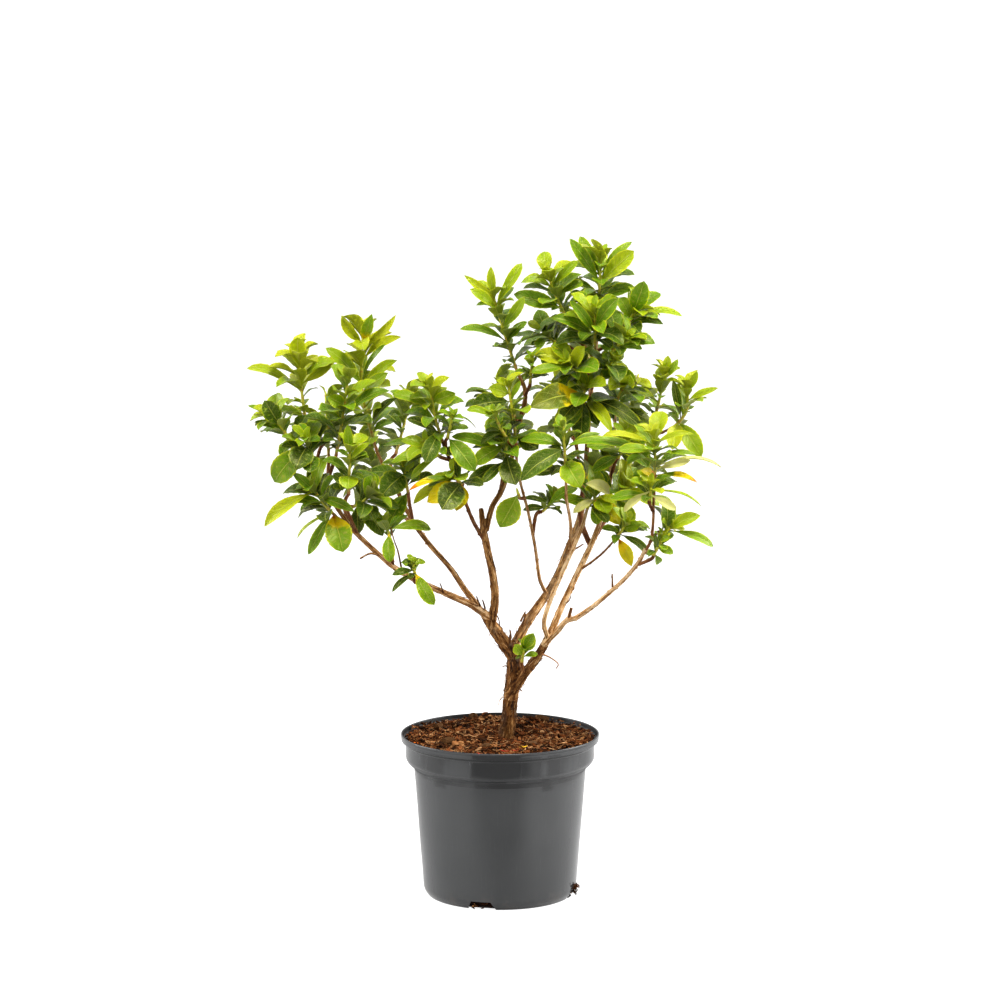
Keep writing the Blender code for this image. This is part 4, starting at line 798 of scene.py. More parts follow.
shoots = dict(
    leftTall=shootOn("lowLeft", None, (-200, 544, -10), 12, 33, [
        (0.55, (-250, 530, -4), 11, 50), (0.62, (-165, 538, 6), 12, 100),
        (0.8, (-200, 557, -16), 17, 80, "young"),
    ]),
    leftOuter=shootOn("lowLeft", (-199, 448, -16), (-226, 482, -24), 9, 28, [
        (0.6, (-250, 490, -12), 8, 30), (0.5, (-243, 474, -22), 9, 40), (0.7, (-231, 494, -38), 19, 75, "dark"),
        (0.2, (-196, 462, -34), 14, 55),
    ]),
    leftCrown=shootOn("leftInner", None, (-137, 566, 18), 15, 34, [
        (0.86, (-104, 576, 10), 9, 110), (0.76, (-98, 557, 6), 11, 50), (0.88, (-158, 578, 12), 11, 110),
        (0.5, (-102, 534, 0), 14, 45), (0.55, (-173, 547, 6), 14, 55), (0.42, (-116, 521, -14), 16, 60),
        (0.9, (-136, 548, -4), 17, 85, "young"), (0.18, (-105, 498, 0), 14, 40, "dark"),
    ]),
    leftHeart=shootOn("lowLeft", (-163, 439, -20), (-150, 516, -26), 11, 32, [
        (0.55, (-111, 507, -20), 15, 30), (0.5, (-178, 488, -30), 12, 35), (0.7, (-168, 498, -40), 14, 80),
    ]),
    leftFront=shootOn("lowLeft", (-149, 404, -46), (-147, 452, -54), 8, 24, [
        (0.42, (-149, 411, -66), 19, 82, "bright"), (0.8, (-149, 472, -58), 10, 85, "bright"),
        (0.7, (-128, 454, -58), 9, 40), (0.1, (-161, 418, -40), 18, 70, "dark"),
    ]),
    leftLow=shootOn("lowLeft", (-163, 382, -36), (-184, 408, -40), 8, 32, [
        (0.95, (-233, 373, -46), 15, 50, "lime"), (0.5, (-208, 397, -36), 12, 45),
        (0.1, (-155, 348, -54), 27, 80, "turning"), (0.15, (-190, 344, -40), 11, 60, "green"),
        (0.12, (-202, 361, -32), 6, 25, "young"), (0.7, (-144, 389, -54), 12, 50),
    ]),
    leftBroad=shootOn("lowLeft", (-187, 436, -24), (-191, 455, -34), 5, 34, [
        (0.9, (-223, 416, -40), 25, 75, "green"), (0.8, (-200, 429, -54), 25, 75, "dark"),
        (0.3, (-182, 404, -36), 14, 55),
    ]),
    leftUnder=shootOn("lowLeft", (-146, 390, -14), (-130, 400, -18), 5, 38, [
        (0.4, (-116, 362, -22), 19, 60, "dark"), (0.2, (-142, 362, -18), 14, 50),
        (0.7, (-100, 388, -10), 15, 45),
    ]),
    leftInnerLow=shootOn("leftInner", (-92, 403, 8), (-97, 432, -2), 7, 32, [
        (0.05, (-111, 370, -12), 18, 70, "green"), (0.7, (-118, 400, -20), 26, 75, "dark"),
        (0.8, (-85, 434, -4), 16, 40),
    ]),
    lowSprout=shootOn("lowLeft", (-84, 323, -34), (-86, 334, -36), 5, 16, [
        (0.3, (-107, 308, -40), 6, 60), (0.4, (-66, 296, -48), 14, 80, "fading"),
        (0.95, (-74, 337, -32), 8, 40, "bright"), (0.9, (-96, 338, -36), 8, 75, "dark"),
        (0.5, (-106, 325, -40), 8, 60, "dark"),
    ]),
    hangingTwig=shootOn("lowLeft", (-108, 356, -30), (-113, 374, -28), 3, 26, [
        (0.5, (-109, 338, -44), 13, 80, "fading"), (0.7, (-68, 370, -20), 13, 50),
    ]),
    leftBack=shootOn("lowLeft", (-172, 436, 22), (-176, 500, 42), 9, 33),
    leftBackLow=shootOn("leftInner", (-118, 404, 62), (-136, 448, 84), 9, 34),
    leftMidBack=shootOn("leftInner", (-106, 440, 50), (-92, 494, 64), 8, 33),
    leftShade=shootOn("lowLeft", (-176, 452, 4), (-166, 482, 8), 7, 28),
    midCrown=shootOn("midStem", None, (-69, 508, -22), 11, 28, [
        (0.6, (-106, 502, -20), 13, 45), (0.75, (-44, 502, -26), 15, 100), (0.45, (-23, 474, -12), 5, 10),
        (0.2, (-72, 438, -46), 18, 80, "dark"),
    ]),
    midSide=shootOn("midStem", (-52, 458, -28), (-47, 480, -34), 5, 17, [
        (0.4, (-31, 469, -30), 8, 35), (0.05, (-25, 427, -44), 20, 65, "green"),
    ]),
    midSkirt=shootOn("midStem", (-60, 440, -22), (-68, 448, -26), 5, 38, [
        (0.6, (-107, 434, -34), 14, 35), (0.8, (-116, 452, -14), 14, 20), (0.4, (-96, 428, -12), 13, 30),
        (0.1, (-88, 418, -26), 9, 35, "bright"),
    ]),
    midLow=shootOn("midStem", (-38, 413, -22), (-45, 421, -30), 4, 30, [
        (0.1, (-56, 390, -52), 27, 78, "dark"), (0.45, (-71, 396, -38), 19, 80, "orange"),
        (0.95, (-89, 410, -44), 8, 45, "orangeTip"), (0.8, (-86, 393, -20), 11, 60, "lime"),
        (0.12, (-43, 388, -36), 20, 78, "orange"),
    ]),
    centreBright=shootOn("centreStem", None, (8, 510, -20), 9, 25, [
        (0.15, (38, 447, -26), 17, 65, "dark"), (0.75, (20, 514, -22), 6, 60), (0.85, (-10, 508, -30), 14, 80),
    ]),
    centreSide=shootOn("centreStem", (9, 454, -26), (-7, 484, -36), 7, 19, [(0.8, (-32, 487, -38), 9, 45)]),
    centreShade=shootOn("centreUpright", (14, 478, 20), (10, 498, 26), 4, 38, [
        (0.8, (-27, 490, 12), 21, 60, "dark"),
    ]),
    centreSkirt=shootOn("centreUpright", (7, 430, -12), (5, 453, -17), 6, 40, [
        (0.95, (-37, 460, -14), 9, 25, "dark"), (0.9, (-24, 436, -34), 16, 60, "bright"),
        (0.14, (-33, 413, -22), 14, 52, "dark"), (0.5, (-38, 423, -14), 6, 25, "dark"),
        (0.6, (15, 414, -40), 22, 85, "dark"),
    ]),
    centreRight=shootOn("frontStem", None, (62, 470, -38), 9, 21, [
        (0.3, (78, 414, -58), 25, 75, "bright"), (0.55, (21, 419, -54), 21, 62, "dark"),
        (0.6, (20, 457, -30), 16, 42, "green"), (0.5, (99, 462, -34), 10, 30, "green"),
        (0.08, (33, 423, -36), 14, 50, "dark"),
    ]),
    centreTwig=shootOn("centreStem", (42, 384, 6), (55, 397, 8), 5, 20, [
        (0.3, (76, 409, 2), 13, 45, "green"), (0.35, (23, 386, 4), 8, 60, "dark"),
        (0.6, (24, 398, 6), 7, 45, "dark"),
    ]),
    loneLeaf=shootOn("centreStem", (19, 400, -14), (17, 407, -18), 1, 30, [
        (0.5, (0, 370, -24), 25, 85, "bright"),
    ]),
    upperLeft=shootOn("centreUpright", None, (-8, 602, 4), 13, 28, [
        (0.45, (-38, 568, 0), 12, 35), (0.88, (-35, 618, 2), 9, 60), (0.85, (20, 629, 0), 11, 60),
        (0.6, (23, 595, -4), 11, 70), (0.45, (27, 572, -2), 11, 45), (0.8, (-26, 604, -8), 11, 60),
    ], via=(6, 556, 8)),
    upperLeftLow=shootOn("centreUpright", (30, 512, 0), (32, 536, -6), 6, 16),
    upperMid=shootOn("leader", (76, 558, 18), (46, 622, 8), 12, 29, [
        (0.5, (15, 600, 4), 17, 70, "green"), (0.8, (77, 632, 6), 10, 60), (0.65, (82, 612, 12), 12, 45),
    ]),
    top=shootOn("leader", None, (101, 634, 24), 11, 34, [
        (0.62, (70, 654, 18), 13, 70), (0.72, (80, 657, 28), 12, 60), (0.75, (130, 652, 22), 9, 50),
        (0.6, (131, 641, 8), 18, 70, "young"), (0.35, (134, 607, 18), 14, 55), (0.3, (80, 604, 30), 16, 60),
    ]),
    topFront=shootOn("leader", (95, 544, 6), (93, 582, -8), 10, 32, [
        (0.6, (115, 594, -18), 15, 70), (0.5, (72, 590, -22), 10, 75), (0.4, (54, 578, -12), 16, 50),
    ]),
    upperRight=shootOn("leader", (120, 560, 18), (136, 586, 12), 8, 32, [
        (0.75, (143, 612, 2), 19, 85, "green"), (0.7, (181, 580, 8), 12, 30), (0.4, (161, 573, 6), 13, 40),
        (0.6, (118, 596, 2), 14, 60),
    ]),
    shoulder=shootOn("leader", (112, 544, 0), (124, 556, -6), 5, 30, [
        (0.85, (153, 552, -14), 15, 50, "green"), (0.4, (141, 545, -8), 11, 40, "green"),
    ]),
    innerDroop=shootOn("leader", (102, 522, 8), (112, 534, 0), 6, 29, [(0.7, (134, 514, -8), 12, 65)]),
    frontYellow=shootOn("leader", (84, 520, 8), (70, 531, -4), 6, 33, [
        (0.6, (84, 548, -26), 15, 60, "lime"), (0.8, (31, 522, -16), 13, 45),
        (0.7, (33, 540, -2), 19, 45, "lime"),
    ]),
    innerLeft=shootOn("leader", (62, 548, 24), (42, 564, 20), 7, 29),
    darkHeart=shootOn("leader", (84, 494, 16), (84, 506, 2), 6, 42, [
        (0.45, (35, 492, -32), 27, 66, "rustRoot"), (0.5, (140, 472, -16), 16, 55, "dark"),
        (0.3, (60, 474, -20), 18, 60), (0.1, (98, 470, 2), 13, 50, "dark"),
    ]),
    backTop=shootOn("leader", (90, 530, 62), (86, 580, 84), 10, 33),
    backRight=shootOn("rightUpright", (126, 470, 46), (140, 518, 64), 9, 33),
    backMid=shootOn("leader", (72, 460, 76), (62, 506, 98), 9, 34),
    backCentre=shootOn("centreUpright", (2, 462, 46), (-2, 512, 62), 8, 34),
    rightMid=shootOn("rightUpright", None, (130, 516, 4), 9, 30, [
        (0.85, (131, 523, -20), 15, 80), (0.05, (152, 472, 2), 13, 45, "dark"),
        (0.05, (98, 479, 4), 11, 55, "turning"),
    ]),
    rightCrown=shootOn("rightArm", (156, 480, 20), (165, 522, 18), 8, 24, [
        (0.05, (152, 481, 4), 12, 60, "dark"),
    ]),
    rightTip=shootOn("rightArm", None, (187, 508, 4), 9, 26, [
        (0.7, (217, 507, 0), 9, 45), (0.15, (200, 440, -10), 18, 72, "bright"),
        (0.14, (171, 446, -14), 16, 75, "lime"), (0.25, (172, 515, -4), 9, 60, "dark"),
    ]),
    redStemTop=shootOn("redStem", None, (152, 456, -44), 8, 34, [
        (0.85, (102, 463, -54), 9, 35, "lime"), (0.6, (69, 457, -50), 12, 40, "green"),
        (0.9, (189, 464, -50), 8, 40, "young"), (0.3, (218, 435, -40), 7, 15, "pale"),
        (0.05, (194, 419, -46), 8, 40, "orangeTip"), (0.7, (117, 448, -62), 12, 50, "bright"),
        (0.4, (99, 446, -40), 9, 30, "dark"), (0.55, (192, 443, -52), 7, 35, "bright"),
        (0.06, (138, 427, -60), 9, 65, "orange"), (0.2, (187, 437, -48), 9, 65, "pale"),
    ]),
    redStemLow=shootOn("redStem", (147, 398, -54), (148, 410, -58), 4, 30, [
        (0.5, (174, 387, -44), 12, 40), (0.8, (198, 396, -56), 6, 15), (0.5, (108, 400, -56), 12, 45, "green"),
    ]),
    rightSide=shootOn("redStem", (158, 366, -50), (167, 370, -54), 4, 24, [
        (0.8, (196, 384, -56), 13, 60), (0.7, (211, 354, -50), 11, 45), (0.4, (180, 384, -42), 9, 40),
    ]),
    rightFork=shootOn("rightSweep", (151, 344, -52), (160, 362, -58), 5, 19, [
        (0.45, (170, 347, -60), 10, 50, "bright"), (0.12, (155, 334, -48), 8, 60, "green"),
        (0.5, (152, 365, -66), 6, 80, "dark"), (0.8, (166, 362, -66), 8, 60, "bright"),
    ]),
    rightTwig=shootOn("rightTwigStem", None, (125, 373, -24), 6, 24, [
        (0.12, (130.5, 333, -30), 13, 75, "golden"), (0.6, (139, 373, -30), 13, 60, "bright"),
        (0.4, (101, 369, -26), 9, 45, "green"), (0.3, (148, 345, -34), 9, 45, "dark"),
    ]),
    rightInner=shootOn("tanStem", None, (98, 399, -12), 7, 30, [
        (0.3, (107, 374, -38), 13, 40, "dark"), (0.7, (119, 373, -26), 17, 65, "golden"),
        (0.9, (73, 385, -22), 9, 60, "pale"),
    ]),
    rightLow=shootOn("rightUpright", (110, 396, 4), (124, 408, -4), 7, 34, [
        (0.6, (150, 398, -18), 16, 40), (0.3, (85, 413, -18), 14, 60, "pale"),
    ]),
    rightDepth=shootOn("rightDarkStem", None, (104, 432, 34), 7, 33),
    rightGap=shootOn("rightUpright", (118, 438, -2), (124, 454, -12), 6, 33, [
        (0.1, (92, 425, -16), 13, 55, "green"),
    ]),
    backLowRight=shootOn("rightUpright", (122, 404, 56), (138, 444, 76), 8, 33),
    basalSprout=shootOn("rightLimb", (22, 235, -14), (24, 250, -18), 4, 15, [
        (0.7, (33, 264, -22), 15, 85, "green"), (0.5, (15, 253, -20), 11, 80, "bright"),
        (0.4, (37, 244, -18), 7, 50, "bright"),
    ]),
)

# how each limb's bark looks: (0 dark brown to 1 light tan, 0 brown to 1 red)
barkLooks = dict(
    trunk=(0.17, 0.15), leftLimb=(0.4, 0.15), lowLeft=(0.66, 0.3), leftInner=(0.54, 0.1),
    leftUpright=(0.46, 0.1), centreUpright=(0.5, 0.1), midStem=(0.26, 0.5), leader=(0.54, -0.4),
    centreStem=(0.66, 0.3), rightLimb=(0.4, 0.2), rightUpright=(0.72, 0.05), rightDarkStem=(0.2, 0.5),
    tanStem=(0.84, 0.05), frontStem=(0.72, 0.25), rightTwigStem=(0.38, 0.35), rightSweep=(0.84, 0.25),
    redStem=(0.6, 0.7), rightArm=(0.32, 0.5), deadTendril=(0.7, 0.9),
)

wood = dict(
    thick=4.4, voxel=0.61 * mm, around=28, thinAround=11, step=1.2 * mm,
    twigRadius=1.6 * mm, stemRadius=1.6 * mm,
    ridge=0.7 * mm, ridgeShare=0.12, knots=95, knotHeight=(0.5 * mm, 1.5 * mm), knotWidth=(0.9 * mm, 2.1 * mm),
    # swellings and scars that stand out: (across, up, back, width, height) in the units of sight
    swellings=[
        (20, 262, -4, 5.5, 2.2), (25, 270, -3, 4, 1.6), (13, 251, -5, 4, 1.6), (2, 226, -2, 1.8, 2.2),
        (33, 227, -10, 1.8, 2.0), (47, 252, -18, 3, 1.4), (40, 246, -16, 2.4, 1.2), (6, 262, -2, 3, 1.2),
        (-6, 276, -4, 3.5, 1.3), (14, 206, -7, 4, 1.2), (62, 296, -16, 2, 1.2), (-9, 342, -9, 2.2, 1.2),
    ],
    flakes=190, flakeLength=(4 * mm, 13 * mm), scarEvery=9 * mm,
    dark=(32, 15, 3), umber=(70, 40, 13), brown=(104, 62, 20), fawn=(148, 104, 58), tan=(212, 156, 92),
    pale=(246, 210, 160), ruddy=[(96, 40, 22), (200, 122, 80)], foot=[(58, 34, 12), (96, 62, 16)],
    grey=(156, 132, 102), crack=(34, 17, 6), fleck=(56, 28, 12), torn=(222, 170, 108), hollowShade=(26, 13, 7),
    # bare snags and a hanging fibre: (thickness in mm, tan, points in the units of sight)
    snags=[
        (1.5, 0.2, (-20, 291, -3), (-22, 296, -6), (-23.5, 300.5, -7)),
        (1.6, 0.1, (-15, 288, -3), (-16, 292, -6), (-17.5, 297, -7)),
        (1.2, 0.0, (-6, 285, -4), (-1.5, 278, -7), (0, 270, -7)),
        (1.9, 0.3, (21, 275, 2), (23, 280, -3), (25.5, 285, -4)),
        (1.8, 0.1, (11, 258, 0), (10.5, 263, -5), (9.8, 267, -6)),
        (1.2, 0.2, (7.5, 229.5, -2), (5, 230.5, -5), (2.3, 229.5, -7)),
        (2.4, 0.2, (29, 230, -7), (31, 228, -11), (33, 226.5, -12)),
        (1.2, 0.3, (19, 208, -5), (21, 206.5, -8), (22.5, 205, -9)),
        (0.9, 0.5, (6, 199, -6), (2, 199, -8), (-0.5, 196, -8), (-1.5, 191, -8)),
        (1.3, 0.1, (-57, 304, -14), (-58, 309, -15), (-60, 314, -16)),
        (1.2, 0.2, (66, 294, -16), (69, 297, -17), (71, 302, -18)),
        (1.6, 0.3, (-98, 331, -32), (-101, 347, -37), (-105, 359, -40), (-108, 371, -42)),
    ],
)


def barkFinish():
    finish = Finish("brownBark", Roughness=0.78, Specular_IOR_Level=0.1)
    tan, red, depth = finish.parts(finish.mark("barkTone"))
    # the barkPlace mark runs round and along each limb, so that the streaks follow it
    place, where = finish.mark("barkPlace"), finish.space()
    strand = finish.streaks(place, 26, 3.6, 5, 0.68)
    fine = finish.streaks(place, 19, 12, 3, 0.6)
    tone = finish.times(finish.less(strand, 0.48), 1.9, tan)
    tone = finish.times(finish.less(finish.streaks(place, 34, 1.25, 2, 0.5), 0.48), 1.5, tone)
    tone = finish.times(finish.less(finish.noise(where, 120, 3), 0.5), 0.6, tone)
    finish.ramp(
        tone, (0.0, wood["dark"]), (0.2, wood["umber"]), (0.38, wood["brown"]), (0.6, wood["fawn"]),
        (0.82, wood["tan"]), (1.0, wood["pale"]),
    )
    finish.coat(finish.band(red, 0.0, 1.0, 0, 0.6), finish.mix(strand, *wood["ruddy"]))
    # lichen, most of it on the limb marked below 0 for red; then the foot, cracks, flecks and torn edges
    lichen = finish.times(finish.band(red, -0.1, -0.4), 0.14, finish.noise(where, 70, 4))
    finish.coat(finish.band(lichen, 0.58, 0.74, 0, 0.55), wood["grey"])
    finish.coat(finish.band(finish.parts(where)["Z"], 0.185, 0.15, 0, 0.6), finish.mix(strand, *wood["foot"]))
    finish.coat(finish.band(fine, 0.42, 0.3, 0, 0.8), wood["crack"])
    finish.coat(finish.band(finish.streaks(place, 110, 2.1, 2, 0.5), 0.62, 0.7, 0, 0.7), wood["fleck"])
    finish.coat(finish.band(fine, 0.6, 0.74, 0, 0.75), wood["torn"])
    # painted shade in the furrows between the ridges
    finish.coat(finish.band(depth, 0.3, 1.0, 0, 0.9), wood["hollowShade"])
    relief = finish.bump(fine, 0.0005, 0.9, finish.bump(strand, 0.0009, 0.9))
    return finish.done(Roughness=finish.times(strand, 0.3, 0.55), Normal=relief)


def limbRod(name, around, first=0, last=None):
    # a limb, or a part of it, as a rod
    route = limbs[name][first:last]
    points = [seen(point) for point in route]
    radii = [point[3] / 2 * sight["unit"] for point in route]
    return Rod(points, radii, around, wood["step"])


def thickPart(name):
    # how many of a limb's points are thick enough to be blended into the main body of wood
    route = limbs[name]
    count = sum(1 for point in route if point[3] >= wood["thick"])
    return count if count >= 2 else 0


def forkPoint(limb, base):
    # where a twig leaves its limb: near its end, but at an acute angle
    points = [seen(point) for point in limbs[limb]]
    best = None
    for start, end in zip(points, points[1:]):
        along = (end - start).normalized()
        for step in range(5):
            fork = start.lerp(end, step / 5)
            way = base - fork
            cost = way.length * (1 + 2.2 * (1 - along.dot(way.normalized())))
            if best is None or cost < best[0]:
                best = (cost, fork, along)
    return best[1], best[2]


def shootLine(name):
    # the stations of a shoot's own stem: its foot, its middle and its tip
    shoot = shoots[name]
    base = seen(shoot["base"] or limbs[shoot["limb"]][-1])
    tip = seen(shoot["tip"])
    if shoot["via"]:
        return base, seen(shoot["via"]), tip
    sag = Vector((0, 0, -0.05)) * (tip - base).length
    if not shoot["base"]:
        sag = (footWay(name) - (tip - base).normalized()) * (tip - base).length * 0.2
    return base, base.lerp(tip, 0.5) + sag, tip


def footWay(name):
    # the way that the foot of a shoot's stem points, in line with the wood that carries it
    shoot = shoots[name]
    if not shoot["base"]:
        before, end = limbs[shoot["limb"]][-2:]
        return (seen(end) - seen(before)).normalized()
    base, middle, _ = shootLine(name)
    return (middle - base).normalized()


def twigRoute(name):
    # the woody twig from a limb to the foot of a shoot, or nothing where the shoot ends a limb
    shoot = shoots[name]
    if not shoot["base"]:
        return None
    base = shootLine(name)[0]
    fork, along = forkPoint(shoot["limb"], base)
    reach = (base - fork).length
    approach = base - footWay(name) * reach * 0.3 + along * reach * 0.08
    return [fork, approach, base], [wood["twigRadius"], wood["twigRadius"], wood["stemRadius"]]


def barkRelief(place, radius, seed):
    # stringy ridges that run along the limb, deeper on thick wood
    stretched = place * np.array([1, 1, 1 / (9 * mm)])
    broad = 1 - 2 * np.abs(lumps(stretched * [1, 1, 0.6], 0.5, seed))
    fine = 1 - 2 * np.abs(lumps(stretched * [1, 1, 0.5], 0.2, seed + 1))
    swell = lumps(place * np.array([0.5, 0.5, 1 / (17 * mm)]), 1.0, seed + 2)
    depth = np.minimum(radius * wood["ridgeShare"], wood["ridge"])
    ridges = broad * 0.6 + fine * 0.7
    return depth * ridges + radius * 0.07 * swell, ridges


def blendedWood():
    # the trunk and every limb's thick part, grown together by a fine remesh
    heap = Heap()
    rods = {name: limbRod(name, wood["around"], 0, thickPart(name)) for name in limbs if thickPart(name)}
    for rod in rods.values():
        heap.add(rod.verts(), rod.faces())
    body = heap.piece("trunkAndLimbs", [])
    merge, soften = body.modifiers.new("merge", "REMESH"), body.modifiers.new("soften", "SMOOTH")
    merge.mode, merge.voxel_size = "VOXEL", wood["voxel"]
    soften.factor, soften.iterations = 0.5, 4
    applyModifiers(body)
    mesh = body.data

    def allPoints(what):
        values = np.empty(len(mesh.vertices) * 3)
        mesh.vertices.foreach_get(what, values)
        return values.reshape(-1, 3)

    points, normals = allPoints("co"), allPoints("normal")
    # every point finds the limb that it belongs to, for its streaks and its colour
    stations = np.concatenate([rod.centre for rod in rods.values()])
    tree = KDTree(len(stations))
    for index, station in enumerate(stations):
        tree.insert(Vector(station), index)
    tree.balance()
    near = np.array([tree.find(Vector(p))[1] for p in points])

    def nearest(part):
        # what the nearest station of a rod says for each point
        return np.concatenate([np.array(getattr(rod, part)) for rod in rods.values()])[near]

    side, along, radius, run = map(nearest, ("sides", "tangents", "radii", "run"))
    looks = [[barkLooks.get(name, (0.3, 0.2))] * len(rod.centre) for name, rod in rods.items()]
    looks = np.concatenate(looks)[near]
    offset = points - stations[near]
    a, b = (offset * side).sum(1), (offset * np.cross(along, side)).sum(1)
    size = np.maximum(np.hypot(a, b), 1e-6)
    place = np.stack([a / size, b / size, run + (offset * along).sum(1)], axis=1)
    relief, ridges = barkRelief(place, radius, seeds["bark"])
    # knots: scars of lost twigs, and buds that never opened
    draw = random.Random(seeds["knots"])
    for _ in range(wood["knots"]):
        spot = points[draw.randrange(len(points))]
        width, height = draw.uniform(*wood["knotWidth"]), draw.uniform(*wood["knotHeight"])
        distance = np.linalg.norm(points - spot, axis=1)
        relief += height * np.exp(-((distance / width) ** 2)) * np.minimum(1, radius / (3.2 * mm))
    for *spot, width, height in wood["swellings"]:
        distance = np.linalg.norm(points - np.array(seen(spot)), axis=1) / (width * sight["unit"])
        relief += height * sight["unit"] * np.exp(-(distance**2)) * (1 + 0.5 * ridges)
    points = points + normals * relief[:, None]
    mesh.vertices.foreach_set("co", points.ravel())
    # the furrows between ridges are painted darker: lower tan, and painted shade in the third value
    tan = looks[:, 0] - 0.1 * (ridges < -0.2)
    tone = np.stack([tan, looks[:, 1], np.clip(-ridges * 0.8 - 0.35, 0, 1)], axis=1)
    writeMarks(mesh, dict(barkPlace=place, barkTone=tone))
    mesh.materials.append(bark)
    mesh.shade_smooth()
    print("thick wood:", len(mesh.polygons), "faces")
    return body, points, normals, radius, along


def thinRod(heap, rod, look, seed, scars=True):
    place = rod.place.reshape(-1, 3)
    radius = np.repeat(rod.radii, rod.around)
    relief, ridges = barkRelief(place, radius, seed)
    if scars:
        # a ring at each place where a leaf once grew, and a bud beside it
        beat = rod.run / wood["scarEvery"]
        turn = np.floor(beat) * math.radians(goldenAngle) + seed
        scar = np.stack([np.exp(-(((beat % 1) - 0.5) / 0.09) ** 2), np.cos(turn), np.sin(turn)])
        ring, x, y = np.repeat(scar, rod.around, axis=1)
        bud = np.clip(place[:, 0] * x + place[:, 1] * y, 0, 1)
        relief = relief + ring * radius * (0.1 + 0.55 * bud**5)
    flat = np.ones(len(place))
    # painted shade in the furrows, in the third value
    tone = np.stack([flat * look[0], flat * look[1], np.clip(-ridges * 0.6 - 0.35, 0, 1)], axis=1)
    heap.add(rod.verts(relief.reshape(len(rod.centre), -1)), rod.faces(), barkPlace=place, barkTone=tone)


def makeBranches():
    heap = Heap()
    for seed, name in enumerate(limbs):
        count = thickPart(name)
        if count == len(limbs[name]):
            continue
        rod = limbRod(name, wood["thinAround"], max(0, count - 1))
        thinRod(heap, rod, barkLooks.get(name, (0.45, 0.3)), seed, scars=name != "deadTendril")
    for seed, name in enumerate(shoots):
        twig = twigRoute(name)
        if twig:
            thinRod(heap, Rod(*twig, 8, wood["step"]), (0.35, 0.55), seed + seeds["twigs"])
    for thick, tan, *route in wood["snags"]:
        radii = [thick / 2 * mm * share for share in (1.1, 0.9, 0.7, 0.6)[:len(route)]]
        rod = Rod([seen(point) for point in route], radii, 8, wood["step"])
        thinRod(heap, rod, (tan, 0.3), len(route), scars=False)
    piece = heap.piece("branchesAndTwigs", [bark], sharp=80)
    print("branches and twigs:", len(piece.data.polygons), "faces")
    return piece


def makeFlakes(points, normals, radius, along):
    # loose strips of bark that peel from the old wood, and fibres that hang from it
    heap = Heap()
    draw = random.Random(seeds["flakes"])
    old = np.flatnonzero(radius > 3.0 * mm)
    for index in range(wood["flakes"]):
        k = old[draw.randrange(len(old))]
        spot, out, way = Vector(points[k]), Vector(normals[k]), Vector(along[k])
        length = draw.uniform(*wood["flakeLength"]) * min(1.0, 0.45 + radius[k] / (9 * mm))
        width = draw.uniform(0.5, 1.7) * mm
        thick = draw.uniform(0.25, 0.5) * mm
        across = way.cross(out).normalized()
        stations, verts = 6, []
        curl, swing, direction = draw.uniform(0.02, 0.3), draw.uniform(-0.25, 0.25), draw.choice((-1, 1))
        for i in range(stations):
            t = i / (stations - 1)
            lift = -0.25 * mm + curl * length * t**2
            middle = spot + way * direction * length * (t - 0.25) + out * lift + across * swing * length * t * t
            half = width / 2 * (1 - t**2 * draw.uniform(0.5, 0.95))
            verts += [middle + across * half, middle + out * thick]
            verts += [middle - across * half, middle - out * thick * 0.4]
        look = (draw.uniform(0.15, 0.75), draw.uniform(0.1, 0.5), 0.0)
        place = [(math.cos(i % 4), math.sin(i % 4), length * (i // 4) / 6 + index) for i in range(len(verts))]
        heap.add([tuple(v) for v in verts], ringFaces(stations, 4), barkPlace=place, barkTone=look)
    piece = heap.piece("barkFlakes", [bark], sharp=60)
    print("bark flakes:", len(piece.data.polygons), "faces")
    return piece


bark = barkFinish()
limbsPiece, *surface = blendedWood()
for woodPiece in (limbsPiece, makeBranches(), makeFlakes(*surface)):
    settle(woodPiece, "brown bark", "trunk_and_branches")

leaf = dict(
    stations=17, smallStations=11, smallLength=21 * mm, thickness=0.5 * mm, ridge=0.4 * mm,
    stalkHalf=0.62 * mm, stalkShare=0.09, rise=(0.78, 1.25), fall=(0.48, 0.84), fold=(0.16, 0.42), quilt=0.026,
    wave=0.05, tooth=0.022, curl=0.15, sway=0.05, glow=0.3, glowDepth=1.2 * mm,
    solidThickness=1.2 * mm, rootHalf=0.45 * mm, rootThickness=0.75 * mm, large=35 * mm, clearance=0.55 * mm,
    stemRadius=1.6 * mm, stemTipRadius=1.15 * mm, keel=0.14, openFrom=0.2,
)
# leaves that the solids leave out: a rosette at each tip, and more along each stem
extraLeaves = dict(rosette=6, rosetteReach=(0.8, 0.3), rosetteLeast=8 * mm, fill=1.35, clearance=0.2 * mm)

